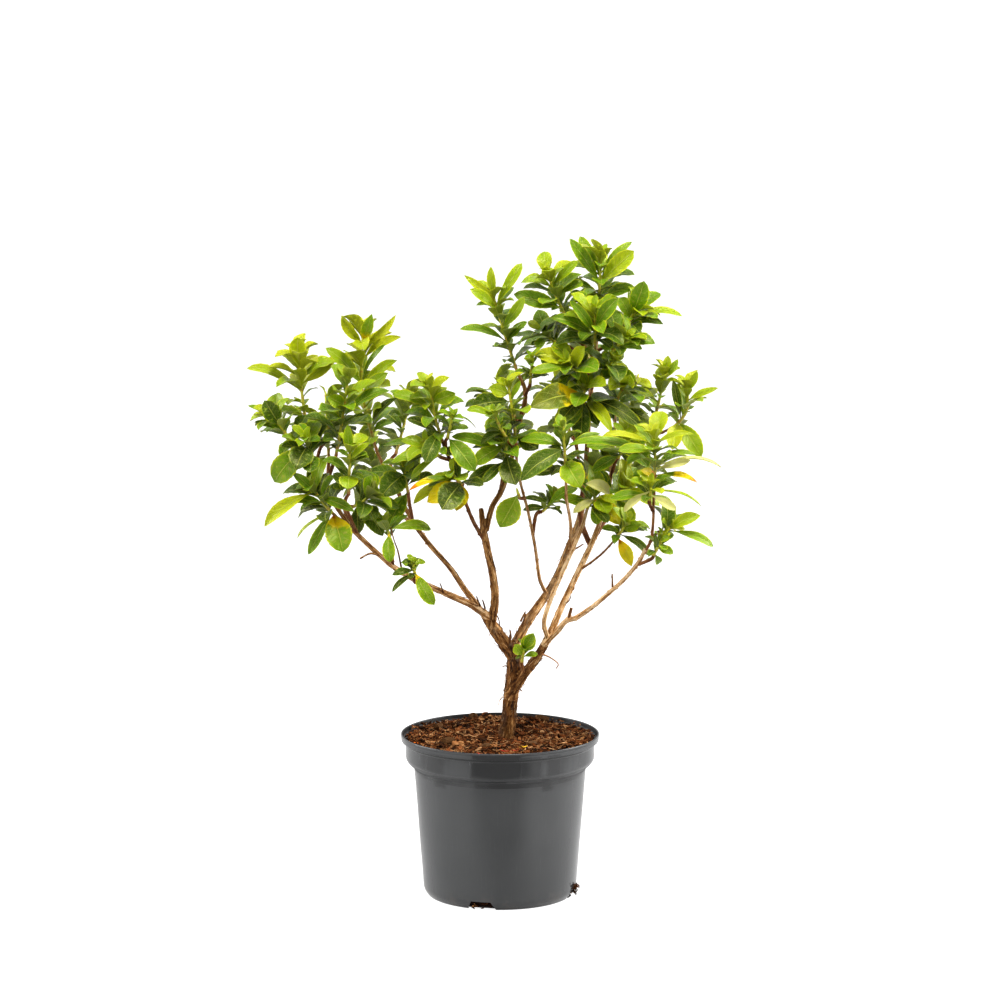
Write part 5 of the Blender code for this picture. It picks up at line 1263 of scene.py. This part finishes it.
# more leaves that stand out in the photo, in the form of the picks above
morePicks = dict(
    upperLeft=[(0.95, (-9, 626, 2), 9, 100, "young")],
    centreSkirt=[(0.6, (-47, 460, -30), 12, 60, "green"), (0.3, (-17, 414, -34), 10, 60, "dark")],
    midCrown=[(0.15, (-92, 477, -30), 10, 60, "dark")],
    darkHeart=[(0.3, (110, 466, -20), 13, 60, "lime")],
    rightInner=[(0.15, (70, 404, -22), 12, 60, "bright")],
    redStemLow=[(0.5, (173, 389, -60), 9, 65, "pale"), (0.8, (121, 388, -60), 8, 60, "pale")],
    leftLow=[(0.8, (-203, 424, -44), 10, 70, "green")],
    leftFront=[(0.15, (-164, 424, -50), 10, 70, "dark")],
    leftCrown=[(0.9, (-128, 578, 6), 12, 90, "turning"), (0.6, (-114, 550, 0), 7, 45, "green")],
    rightCrown=[(0.95, (168, 538, 14), 9, 95, "young"), (0.9, (177, 534, 12), 8, 85, "bright")],
    rightTip=[(0.9, (196, 523, -2), 8, 85, "young")],
    basalSprout=[(0.95, (31.5, 269, -26), 11, 88, "bright")],
)

# tone names for picked leaves: (youth, yellowing)
toneLooks = dict(
    dark=(0.12, 0.0), green=(0.42, 0.0), bright=(0.6, 0.0), young=(0.8, 0.0), lime=(0.92, 0.0),
    turning=(0.6, 0.8), orange=(0.3, 1.0), pale=(1.3, 0.0), orangeTip=(0.36, -0.85), rustRoot=(0.1, 0.92),
    golden=(0.9, 0.97), fading=(0.56, 0.5),
)

# how bright a leaf is, from the place on its stem and its height, and how many of the low ones turn yellow
brightness = dict(
    least=0.06, tipward=0.66, spread=0.09, middle=0.42, perMetre=0.9, turning=0.045, turnsBelow=0.35,
    yellowing=(0.3, 0.75),
)

# shoots whose leaves are coloured brighter or darker than their height tells: partly younger or older growth,
# partly painted light where that part of the crown is lit more or less
brighterShoots = dict(
    leftTall=0.42, leftCrown=0.38, midCrown=0.16, leftFront=0.12, centreBright=0.14, leftOuter=0.16,
    rightCrown=0.28, rightTip=0.24, redStemTop=0.24, redStemLow=0.26, rightSide=0.24, rightInner=0.22,
    rightLow=0.24, rightMid=0.16, rightFork=0.18, rightTwig=0.2, rightGap=0.16, top=-0.04, topFront=-0.04,
    upperRight=-0.04, innerLeft=-0.1, leftLow=-0.04, centreRight=-0.1, centreSide=-0.1,
)

leafColours = dict(
    old=(30, 56, 0), dark=(54, 93, 0), green=(98, 141, 0), young=(143, 169, 0), tip=(180, 186, 14),
    rib=(200, 206, 84), margin=(214, 216, 30), yellow=(242, 206, 4), orange=(230, 118, 2), sere=(238, 206, 4),
    cream=(226, 222, 140),
    under=(112, 130, 52), underYoung=(160, 168, 24), underRib=(196, 200, 96), spot=(84, 58, 4),
    stemOld=(130, 80, 32), stemTan=(160, 112, 46), stemGold=(184, 172, 46), stemYoung=(204, 206, 44),
    stemStreak=(190, 196, 110), node=(176, 84, 40),
)


def leafFinish(name, upper):
    finish = Finish(
        name, Roughness=0.35, IOR=1.55, Specular_Tint=(0.88, 0.88, 0.34, 1),
        Subsurface_Weight=leaf["glow"], Subsurface_Radius=(0.9, 1.0, 0.12), Subsurface_Scale=leaf["glowDepth"],
    )
    u, v, chance = finish.parts(finish.mark("leafPlace"))
    youth, yellowing, _ = finish.parts(finish.mark("leafTone"))
    where = finish.space()
    c = leafColours
    fine = finish.noise(where, 520, 3, 0.6)
    tone = finish.times(finish.less(finish.noise(where, 75, 3), 0.5), 0.34, youth)
    tone = finish.times(finish.less(chance, 0.5), 0.16, tone)
    # a blade is a little lighter towards its root and its edges
    edge = finish.absolute(u)
    tone = finish.times(finish.math("POWER", edge, 3.0), 0.12, tone)
    if upper:
        shades = (c[shade] for shade in ("old", "dark", "green", "young", "tip"))
        finish.ramp(tone, *zip((0.0, 0.25, 0.5, 0.75, 1.0), shades))
    else:
        finish.colour = finish.mix(finish.band(tone, 0.2, 0.95), c["under"], c["underYoung"])
    finish.coat(finish.band(youth, 1.1, 1.25), c["cream"])
    # veins: the midrib, side veins that sweep forward, and a fine net between them
    rib = finish.band(edge, finish.times(v, -0.05, 0.09), 0.015)
    slant = finish.times(v, 8.5, finish.times(edge, -1.9))
    side = finish.absolute(finish.less(finish.math("FRACT", finish.math("ADD", slant, 4.0)), 0.5))
    vein = finish.times(finish.band(side, 0.085, 0.0), finish.band(edge, 0.98, 0.75))
    net = finish.node("TexVoronoi", {"Vector": where, "Scale": 560.0}, feature="DISTANCE_TO_EDGE")
    net = finish.band(net.outputs["Distance"], 0.09, 0.0)
    finish.coat(finish.band(fine, 0.3, 0.75, 0.0, 0.3), finish.mix(0.45, finish.colour, c["spot"]))
    finish.coat(finish.times(net, 0.16), c["rib"])
    ribColour = c["rib"] if upper else c["underRib"]
    finish.coat(finish.times(vein, 0.24 if upper else 0.4), ribColour)
    finish.coat(finish.times(rib, 0.75 if upper else 0.8), ribColour)
    if upper:
        rim = finish.band(edge, 0.86, 0.96, 0.0, 0.85)
        finish.coat(finish.times(rim, finish.band(youth, 0.1, 0.6, 0.4, 1.0)), c["margin"])
    # a leaf that turns has yellow and orange patches from its root or its tip, and then fades all over
    patch = finish.noise(where, 95, 2)
    amount = finish.absolute(yellowing)
    away = finish.absolute(finish.less(v, finish.band(yellowing, 0.0, -0.01)))
    sick = finish.times(away, -1.6, finish.times(amount, 1.3, finish.times(patch, 1.2, -0.75)))
    sick = finish.times(sick, finish.band(amount, 0.0, 0.15))
    sere = finish.times(finish.band(amount, 0.9, 1.0), finish.band(patch, 0.25, 0.7, 0.35, 0.9))
    finish.coat(sere, c["sere"])
    finish.coat(finish.band(sick, 0.1, 0.45), c["yellow"])
    finish.coat(finish.band(sick, 0.62, 0.92), c["orange"])
    relief = finish.times(rib, -1.0 if upper else 1.0, finish.times(vein, -0.6 if upper else 0.6))
    relief = finish.times(net, -0.18, relief)
    relief = finish.bump(relief, 0.0007, 0.9, finish.bump(fine, 0.0002, 0.7))
    return finish.done(Roughness=finish.times(fine, 0.2, 0.2 if upper else 0.45), Normal=relief)


def stemFinish():
    finish = Finish("greenStem", Roughness=0.45)
    young = finish.parts(finish.mark("leafPlace"))["Y"]
    node = finish.parts(finish.mark("leafTone"))["Z"]
    streak = finish.streaks(finish.space(), 0.3, 700, 3)
    c = leafColours
    finish.ramp(
        finish.times(finish.less(streak, 0.5), 0.5, young),
        (0.0, c["stemOld"]), (0.12, c["stemTan"]), (0.26, c["stemGold"]), (1.0, c["stemYoung"]),
    )
    finish.coat(finish.band(node, 0.35, 0.95, 0, 0.6), c["node"])
    finish.coat(finish.band(streak, 0.55, 0.75, 0, 0.35), c["stemStreak"])
    return finish.done(Roughness=finish.times(streak, 0.3, 0.34), Normal=finish.bump(streak, 0.0003, 0.8))


def stemPoint(stem, share):
    base, middle, tip = stem
    return base.lerp(middle, share * 2) if share < 0.5 else middle.lerp(tip, share * 2 - 1)


def stemWay(stem, share):
    return (stemPoint(stem, min(1, share + 0.05)) - stemPoint(stem, max(0, share - 0.05))).normalized()


def plainTube(points, radii, count, firstWay=None):
    # the straight-sided tube that the solids have, to keep leaves clear of
    tangents, sides = framesAlong(points, firstWay)
    verts = []
    for point, radius, tangent, side in zip(points, radii, tangents, sides):
        other = tangent.cross(side)
        for i in range(count):
            turn = math.tau * i / count
            verts.append(point + (side * math.cos(turn) + other * math.sin(turn)) * radius)
    return verts, [tuple(face) for face in ringFaces(len(points), count)]


def limbTube(route):
    thick = route[0][3]
    count = 8 if thick > 10 else 6 if thick > 5 else 4
    return plainTube([seen(p) for p in route], [p[3] / 2 * sight["unit"] for p in route], count)


def stemTube(name):
    base, middle, tip = shootLine(name)
    way = footWay(name)
    thick, thin = leaf["stemRadius"], leaf["stemTipRadius"]
    return plainTube([base + way * compost["gap"], middle, tip], [thick, (thick + thin) / 2, thin], 4, way)


class Blade:
    # a leaf by its root, its tip, the way its face looks, its width and how far it arches

    def __init__(self, root, tip, facing, width, arch):
        self.root, self.tip, self.width, self.arch = root, tip, width, arch
        self.length = (tip - root).length
        self.along = (tip - root).normalized()
        self.up = (facing - self.along * facing.dot(self.along)).normalized()
        self.side = self.along.cross(self.up)
        self.youth, self.yellowing = 0.5, 0.0

    def spine(self, share):
        return self.root + self.along * self.length * share + self.up * self.arch * 4 * share * (1 - share)

    def crossesOpening(self):
        unit = sight["unit"]
        for step in range(3, 11):
            point = self.spine(step / 10)
            across, up = point.x / unit, (point.z + point.y * sight["fall"]) / unit / sight["stretch"]
            margin = self.width / unit * 0.3
            if any(math.hypot(across - x, up - z) < radius + margin for x, z, radius in openings):
                return True
        return False

    def solid(self, grow=0.0, first=0.0):
        # the plain keeled blade of the solids, grown a little where a clearance is wanted
        full = self.length > leaf["large"]
        sections = [(first, 0.0), (0.56, 1.0), (0.84, 0.74)] if full else [(first, 0.0), (0.62, 1.0)]
        verts = []
        for share, spread in sections:
            middle = self.spine(share)
            half = max(leaf["rootHalf"], self.width / 2 * spread) + grow
            thick = (leaf["solidThickness"] if spread else leaf["rootThickness"]) / 2 + grow
            lift = self.up * (thick + half * leaf["keel"] * spread)
            verts += [middle + self.side * half + lift, middle - self.side * half + lift]
            verts.append(middle - self.up * thick)
        verts.append(self.tip + self.along * grow)
        faces = [(0, 1, 2)]
        for ring in range(len(sections) - 1):
            a = ring * 3
            for i in range(3):
                b = (i + 1) % 3
                faces += [(a + i, a + b, a + 3 + b), (a + i, a + 3 + b, a + 3 + i)]
        last = (len(sections) - 1) * 3
        faces += [(last + i, last + (i + 1) % 3, len(verts) - 1) for i in range(3)]
        return verts, faces


def pickedBlade(stem, pick):
    place, tip, width, look = pick[:4]
    root = stemPoint(stem, place)
    target = seen(tip)
    facing = Vector((0, -math.sin(math.radians(look)), math.cos(math.radians(look))))
    return root, target, facing, width * sight["unit"], (target - root).length * 0.09


def leafWay(axis, turn, opening):
    # the way of a leaf that opens so far from its stem, this far round it, and the way straight out
    outward = Matrix.Rotation(math.radians(turn), 3, axis) @ axis.orthogonal().normalized()
    opening = math.radians(opening)
    return axis * math.cos(opening) + outward * math.sin(opening), outward


def skyward(axis, forward, loose, draw):
    # a leaf looks up, a little to the viewer, and along its stem
    sway = Vector((draw.uniform(-loose, loose), draw.uniform(-loose, loose), 0))
    return axis * 0.8 + Vector((0, forward, 0.7)) + sway


def spiralBlade(stem, shoot, rank, count, draw):
    # a leaf on the spiral of the stem: wide and level below, short and upright at the tip
    share = (rank + 0.35) / count
    place = 0.12 + 0.86 * share**0.85
    root, axis = stemPoint(stem, place), stemWay(stem, place)
    turn = goldenAngle * rank + draw.uniform(-16, 16)
    heading, _ = leafWay(axis, turn, 84 - 54 * share**1.3 + draw.uniform(-9, 9))
    length = shoot["blade"] * sight["unit"] * (1.26 - 0.42 * share**2.2) * draw.uniform(0.88, 1.12)
    width = length * draw.uniform(0.48, 0.6)
    facing = skyward(axis, -0.25, 0.3, draw)
    return root, root + heading * length, facing, width, length * draw.uniform(0.04, 0.11)


def rosetteBlade(stem, shoot, rank, count, draw):
    # young leaves stand up round each tip, each smaller and more folded in than the one below
    share = rank / (count - 1)
    root = stemPoint(stem, 0.9 + 0.09 * share)
    axis = (stem[2] - stem[1]).normalized()
    turn = goldenAngle * (rank + 40) + draw.uniform(-14, 14)
    heading, outward = leafWay(axis, turn, 40 - 31 * share + draw.uniform(-9, 9))
    wide, narrow = extraLeaves["rosetteReach"]
    length = shoot["blade"] * sight["unit"] * (wide + (narrow - wide) * share) * draw.uniform(0.8, 1.1)
    length = max(extraLeaves["rosetteLeast"], length)
    width = length * (0.44 - 0.12 * share) * draw.uniform(0.88, 1.12)
    return root, root + heading * length, axis - outward * 0.35, width, length * draw.uniform(0.07, 0.13)


def fillBlade(stem, shoot, rank, count, draw):
    # the leaves between the others, on the same spiral half a turn on
    share = (rank + 0.6) / count
    place = 0.04 + 0.9 * share
    root, axis = stemPoint(stem, place), stemWay(stem, place)
    turn = goldenAngle * rank + 68 + draw.uniform(-25, 25)
    heading, _ = leafWay(axis, turn, draw.uniform(62, 98) - 34 * share)
    length = shoot["blade"] * sight["unit"] * draw.uniform(0.7, 1.12)
    width = length * draw.uniform(0.42, 0.56)
    facing = skyward(axis, -0.2, 0.4, draw)
    return root, root + heading * length, facing, width, length * draw.uniform(0.05, 0.14)


def treeOf(solid):
    return BVHTree.FromPolygons(*solid)


class Crown:
    # the leaves placed so far and the wood between them, to keep new leaves clear

    wholeTries = ((1.0, 0.86, 0.74, 0.62), (0, 9, -9, 18, -18, 27, -27), (0, 9, -9, 18, -18, 28, -28, 40, -40))
    quickTries = ((1.0, 0.8, 0.64), (0, 14, -14, 26), (0, 16, -16, 34, -34))

    def __init__(self):
        tubes = Heap()
        for route in limbs.values():
            tubes.add(*limbTube(route))
        for name in shoots:
            twig = twigRoute(name)
            if twig:
                tubes.add(*plainTube(*twig, 4))
        self.wood = treeOf((np.concatenate(tubes.verts).tolist(), tubes.faces))
        self.stems = {name: treeOf(stemTube(name)) for name in shoots}
        self.blades = []

    def isFree(self, blade, owner, clearance):
        whole = treeOf(blade.solid(grow=clearance))
        if whole.overlap(self.wood):
            return False
        if any(whole.overlap(other) for name, other in self.stems.items() if name != owner):
            return False
        # leaves of one stem may touch at their roots
        openPart = treeOf(blade.solid(first=leaf["openFrom"]))
        centre = blade.spine(0.5)
        for name, otherCentre, reach, otherWhole, otherOpen in self.blades:
            if (otherCentre - centre).length > reach + blade.length * 0.6:
                continue
            if openPart.overlap(otherOpen) if name == owner else whole.overlap(otherWhole):
                return False
        return True

    def place(self, owner, wanted, tries, clearance, openSky=True):
        # the blade as given or, where it would cross another, turned, lifted or shortened until it is clear
        root, tip, facing, width, arch = wanted
        axis = shootLine(owner)[2] - shootLine(owner)[0]
        for shorten, lift, turn in itertools.product(*tries):
            way = (tip - root) * shorten
            hinge = axis.cross(way).normalized()
            lifted = Matrix.Rotation(math.radians(lift), 3, hinge) @ way
            way = Matrix.Rotation(math.radians(turn), 3, axis) @ lifted
            blade = Blade(root, root + way, facing, width * shorten, arch * shorten)
            if openSky and blade.crossesOpening():
                continue
            if self.isFree(blade, owner, clearance):
                trees = treeOf(blade.solid()), treeOf(blade.solid(first=leaf["openFrom"]))
                self.blades.append((owner, blade.spine(0.5), blade.length * 0.6, *trees))
                return blade
        return None


def leafGrid(stations):
    # the ring of points round a leaf: seven above from edge to edge, five below
    above = [1.0, 0.7, 0.34, 0.0, -0.34, -0.7, -1.0]
    below = [-0.72, -0.16, 0.0, 0.16, 0.72]
    spread = np.array(above + below)
    lower = np.array([0.0] * 7 + [0.85, 1.0, 1.0, 1.0, 0.85])
    ridge = np.array([0.0, 0, 0, -0.35, 0, 0, 0, 0, 0.1, 1.0, 0.1, 0])
    share = np.linspace(0, 1, stations) ** 0.92
    faces = ringFaces(stations, 12)
    picks = np.tile([0] * 6 + [1] * 6, stations - 1).tolist() + [1, 0]
    return spread, lower, ridge, share, faces, picks


leafGrids = {count: leafGrid(count) for count in (leaf["stations"], leaf["smallStations"])}


def addLeaf(heap, blade, draw):
    small = blade.length < leaf["smallLength"]
    spread, lower, ridge, share, faces, picks = leafGrids[leaf["smallStations"] if small else leaf["stations"]]
    u, v = spread[None, :], share[:, None]
    rise, fall = draw.uniform(*leaf["rise"]), draw.uniform(*leaf["fall"])
    body = np.clip((v - leaf["stalkShare"]) / (1 - leaf["stalkShare"]), 0, 1)
    peak = rise / (rise + fall)
    form = body**rise * (1 - body) ** fall / (peak**rise * (1 - peak) ** fall)
    teeth = 1 + leaf["tooth"] * np.where(np.arange(len(share)) % 2, 1, -1)[:, None] * (form > 0.45)
    stalk = leaf["stalkHalf"] * (1 - 0.35 * v) * np.clip((1.02 - v) / 0.06, 0.3, 1)
    half = np.maximum(blade.width / 2 * form * teeth, stalk)
    length, phase = blade.length, draw.uniform(0, math.tau)
    fold = draw.uniform(*leaf["fold"]) + 1.2 * max(0, min(1, blade.youth) - 0.75)
    waves = draw.uniform(1.4, 2.6)
    edge = np.abs(u)
    # a leaf is folded, waved at its edge, quilted between its veins and curled at its tip
    wave = draw.uniform(0.3, 1.1) * np.sin(math.tau * waves * v + phase + (u < 0) * 1.9) * edge**2
    quilt = np.sin(math.tau * (5.2 * v - 1.1 * edge)) * 4 * edge * (1 - edge)
    curl = draw.uniform(-0.2, 1.0) * np.clip((v - 0.55) / 0.45, 0, 1) ** 2
    height = half * fold * edge**1.25 + (leaf["wave"] * wave + leaf["quilt"] * quilt) * blade.width
    height = height - leaf["curl"] * curl * length
    thin = 0.55 if small else 1.0
    height = height - lower * leaf["thickness"] * thin * (1.7 - 0.7 * np.clip(v / 0.2, 0, 1))
    height = height - ridge * leaf["ridge"] * thin * (1 - 0.7 * v)
    arch = blade.arch * 4 * v * (1 - v)
    sway = leaf["sway"] * draw.uniform(-1, 1) * length * np.sin(math.pi * v) * v
    root, along, up, side = (np.array(tuple(w)) for w in (blade.root, blade.along, blade.up, blade.side))
    verts = root + along * (length * v)[:, :, None] + up * (height + arch)[:, :, None]
    verts = (verts + side * (u * half + sway)[:, :, None]).reshape(-1, 3)
    place = np.stack([u + 0 * v, 0 * u + v, 0 * u + 0 * v + draw.random()], axis=2).reshape(-1, 3)
    heap.add(verts, faces, picks, leafPlace=place, leafTone=(blade.youth, blade.yellowing, draw.random()))


def addStem(heap, name, draw):
    # the green stem, a little swollen where each leaf joins, with a bud at its tip
    base, middle, tip = shootLine(name)
    way = footWay(name)
    end = tip + (tip - middle).normalized() * 2.4 * mm
    thick, thin = leaf["stemRadius"], leaf["stemTipRadius"]
    rod = Rod([base, middle, tip, end], [thick, (thick + thin) / 2, thin, 0.25 * mm], 8, 1.6 * mm, way)
    share = rod.run / rod.run[-1]
    beat = np.sin(share * shoots[name]["leaves"] * math.tau)
    knots = 0.16 * beat[:, None] * (0.5 + 0.5 * np.sin(rod.place[:, :, 0] * 3))
    verts = rod.verts(knots * rod.radii[:, None])
    length = rod.run[-1]
    young = np.clip(0.1 + share * 0.9 + (0.25 if length < 30 * mm else 0), 0, 1)
    flat = np.ones(len(verts))
    young, node = np.repeat(np.stack([young, np.clip(beat, 0, 1) ** 2]), rod.around, axis=1)
    place = np.stack([flat * 0, young, flat * draw.random()], axis=1)
    tone = np.stack([flat * 0.6, flat * 0, node], axis=1)
    heap.add(verts, rod.faces(), 2, leafPlace=place, leafTone=tone)


def nodeName(name):
    return "shoot_" + re.sub("([A-Z])", r"_\1", name).lower()


def toneOf(blade, draw, tipward, tone=None, brighten=0.0):
    # young leaves are bright; old and inner ones are dark, and a few low ones turn yellow
    if tone:
        blade.youth, blade.yellowing = toneLooks[tone]
        return
    b = brightness
    blade.youth = b["least"] + b["tipward"] * tipward**1.4 + brighten + draw.gauss(0, b["spread"])
    blade.youth = min(1.0, max(0.0, blade.youth))
    if tipward < b["turnsBelow"] and draw.random() < b["turning"]:
        blade.yellowing = draw.uniform(*b["yellowing"])


def growShoots():
    crown = Crown()
    grown = {name: [] for name in shoots}
    stems = {name: shootLine(name) for name in shoots}
    middle, perMetre = brightness["middle"], brightness["perMetre"]
    shootBrightness = {name: (stems[name][2].z - middle) * perMetre + brighterShoots.get(name, 0) for name in shoots}
    hues = {name: random.Random(seeds["hues"] + index) for index, name in enumerate(shoots)}
    whole = dict(tries=Crown.wholeTries, clearance=leaf["clearance"])
    quick = dict(tries=Crown.quickTries, clearance=extraLeaves["clearance"])

    def grow(name, wanted, way, draw, tipward, tone=None, **options):
        blade = crown.place(name, wanted, **way, **options)
        if blade:
            toneOf(blade, draw, tipward, tone, shootBrightness[name])
            grown[name].append(blade)
        return blade

    # the leaves that the solids have come first, in the same order and with the same draws
    for name, shoot in shoots.items():
        for pick in shoot["picks"]:
            tone = pick[4] if len(pick) > 4 else None
            grow(name, pickedBlade(stems[name], pick), whole, hues[name], pick[0], tone, openSky=False)
    for index, (name, shoot) in enumerate(shoots.items()):
        draw = random.Random(seeds["spiral"] + index)
        count = max(0, shoot["leaves"] - len(shoot["picks"]))
        # every leaf of a spiral is drawn before the first is placed, as its draws come in that order
        spiral = [spiralBlade(stems[name], shoot, rank, count, draw) for rank in range(count)]
        for rank, wanted in enumerate(spiral):
            grow(name, wanted, whole, hues[name], (rank + 0.5) / count)
    first = sum(map(len, grown.values()))
    for name, picks in morePicks.items():
        for pick in picks:
            wanted = pickedBlade(stems[name], pick)
            if not grow(name, wanted, quick, hues[name], pick[0], pick[4], openSky=False):
                print("no room for a leaf of", name)
    for kind, make in (("rosette", rosetteBlade), ("fill", fillBlade)):
        for index, (name, shoot) in enumerate(shoots.items()):
            if name == "loneLeaf":
                continue
            draw = random.Random(seeds[kind] + index)
            count = extraLeaves[kind] if kind == "rosette" else round(shoot["leaves"] * extraLeaves[kind])
            for rank in range(count):
                tipward = 0.86 + 0.22 * rank / count if kind == "rosette" else (rank + 0.3) / count * 0.9
                grow(name, make(stems[name], shoot, rank, count, draw), quick, draw, tipward)
    print("leaves:", first, "of the solids and", sum(map(len, grown.values())) - first, "more")
    return grown


def makeShoots():
    finishes = [leafFinish("leafTop", True), leafFinish("leafUnder", False), stemFinish()]
    for index, (name, blades) in enumerate(growShoots().items()):
        heap, draw = Heap(), random.Random(seeds["leaves"] + index)
        addStem(heap, name, draw)
        for blade in blades:
            addLeaf(heap, blade, draw)
        piece = heap.piece("leafy" + name[0].upper() + name[1:], finishes, sharp=62)
        settle(piece, "leaf", nodeName(name))
    print("shoots:", len(shoots))


makeShoots()


# The studio

studio = dict(
    floorSize=60.0, floor=[(158, 158, 158), (164, 164, 164)], floorGlow=0.93, sideGlow=0.7, worldShown=1.0,
    frontLight=0.27, backLight=0.86, aim=(0, 0, 0.32),
    lights=[
        # name, place, size, watts
        ("leftLight", (-1.9, 0.35, 1.0), 1.3, 40), ("rightLight", (1.9, 0.3, 1.1), 1.3, 56),
        ("topLight", (0.3, -0.8, 2.3), 1.0, 55), ("frontLight", (-1.3, -2.4, 1.5), 1.0, 19),
    ],
)


def floorFinish():
    finish = Finish("paleFloor", Roughness=0.9, Specular_IOR_Level=0.1, Emission_Color=(1, 1, 1, 1))
    where = finish.space()
    finish.colour = finish.mix(finish.noise(where, 30, 3), *studio["floor"])
    # the glow makes the floor as white as the wall to the viewer, without lighting the plant from below
    rays = finish.node("LightPath", {}).outputs
    shown = finish.times(rays["Is Camera Ray"], studio["floorGlow"])
    # the floor glows to glossy rays only, bright on both sides, where the lamps stand, and darker before them:
    # a painted reflection for glossy surfaces
    x, y, _ = finish.parts(where)
    side = finish.band(finish.times(y, 0.78, finish.absolute(x)), -0.15, 0.05)
    side = finish.times(side, finish.band(x, -0.2, 0.2, 0.8, 1.05))
    side = finish.times(finish.times(side, finish.band(y, 0.4, -0.1, 0.5, 1.0)), rays["Is Glossy Ray"])
    return finish.done(Emission_Strength=finish.times(side, studio["sideGlow"], shown))


def makeStudio():
    half = studio["floorSize"] / 2
    corners = [(-half, -half, 0), (half, -half, 0), (half, half, 0), (-half, half, 0)]
    addPiece("studioFloor", corners, [(0, 1, 2, 3)], [floorFinish()])
    for name, place, size, watts in studio["lights"]:
        lamp = bpy.data.lights.new(name, "AREA")
        lamp.shape, lamp.size, lamp.energy = "SQUARE", size, watts
        turnTo(addObject(name, lamp), Vector(place), Vector(studio["aim"]))
    world = bpy.data.worlds.new("whiteStudio")
    world.use_nodes = True
    sky = Nodes(world.node_tree)
    # the wall behind the plant is bright and the room behind the viewer is dim
    y = sky.parts(sky.node("TexCoord", {}).outputs["Generated"])["Y"]
    room = {"Value": y, "From Min": -1, "To Min": studio["frontLight"], "To Max": studio["backLight"]}
    room = sky.node("MapRange", room).outputs["Result"]
    ray = sky.node("LightPath", {}).outputs["Is Camera Ray"]
    shown = sky.node("MapRange", {"Value": ray, "To Min": room, "To Max": studio["worldShown"]})
    background = sky.tree.nodes["Background"]
    background.inputs["Color"].default_value = (1, 1, 1, 1)
    sky.tree.links.new(shown.outputs["Result"], background.inputs["Strength"])
    bpy.context.scene.world = world
    bpy.context.scene.view_settings.view_transform = "Standard"


def turnTo(thing, place, aim):
    thing.location = place
    thing.rotation_euler = (aim - place).to_track_quat("-Z", "Y").to_euler()


def makeCamera():
    tilt = math.radians(viewer["elevation"])
    lens = bpy.data.cameras.new("viewer")
    lens.lens, lens.sensor_width, lens.clip_end = viewer["lens"], 36, 100
    camera = addObject("viewer", lens)
    aim = Vector((0, 0, viewer["aimHeight"]))
    turnTo(camera, aim + Vector((0, -math.cos(tilt), math.sin(tilt))) * viewer["distance"], aim)
    bpy.context.scene.camera = camera


makeStudio()
makeCamera()
print("studio and camera are in place")
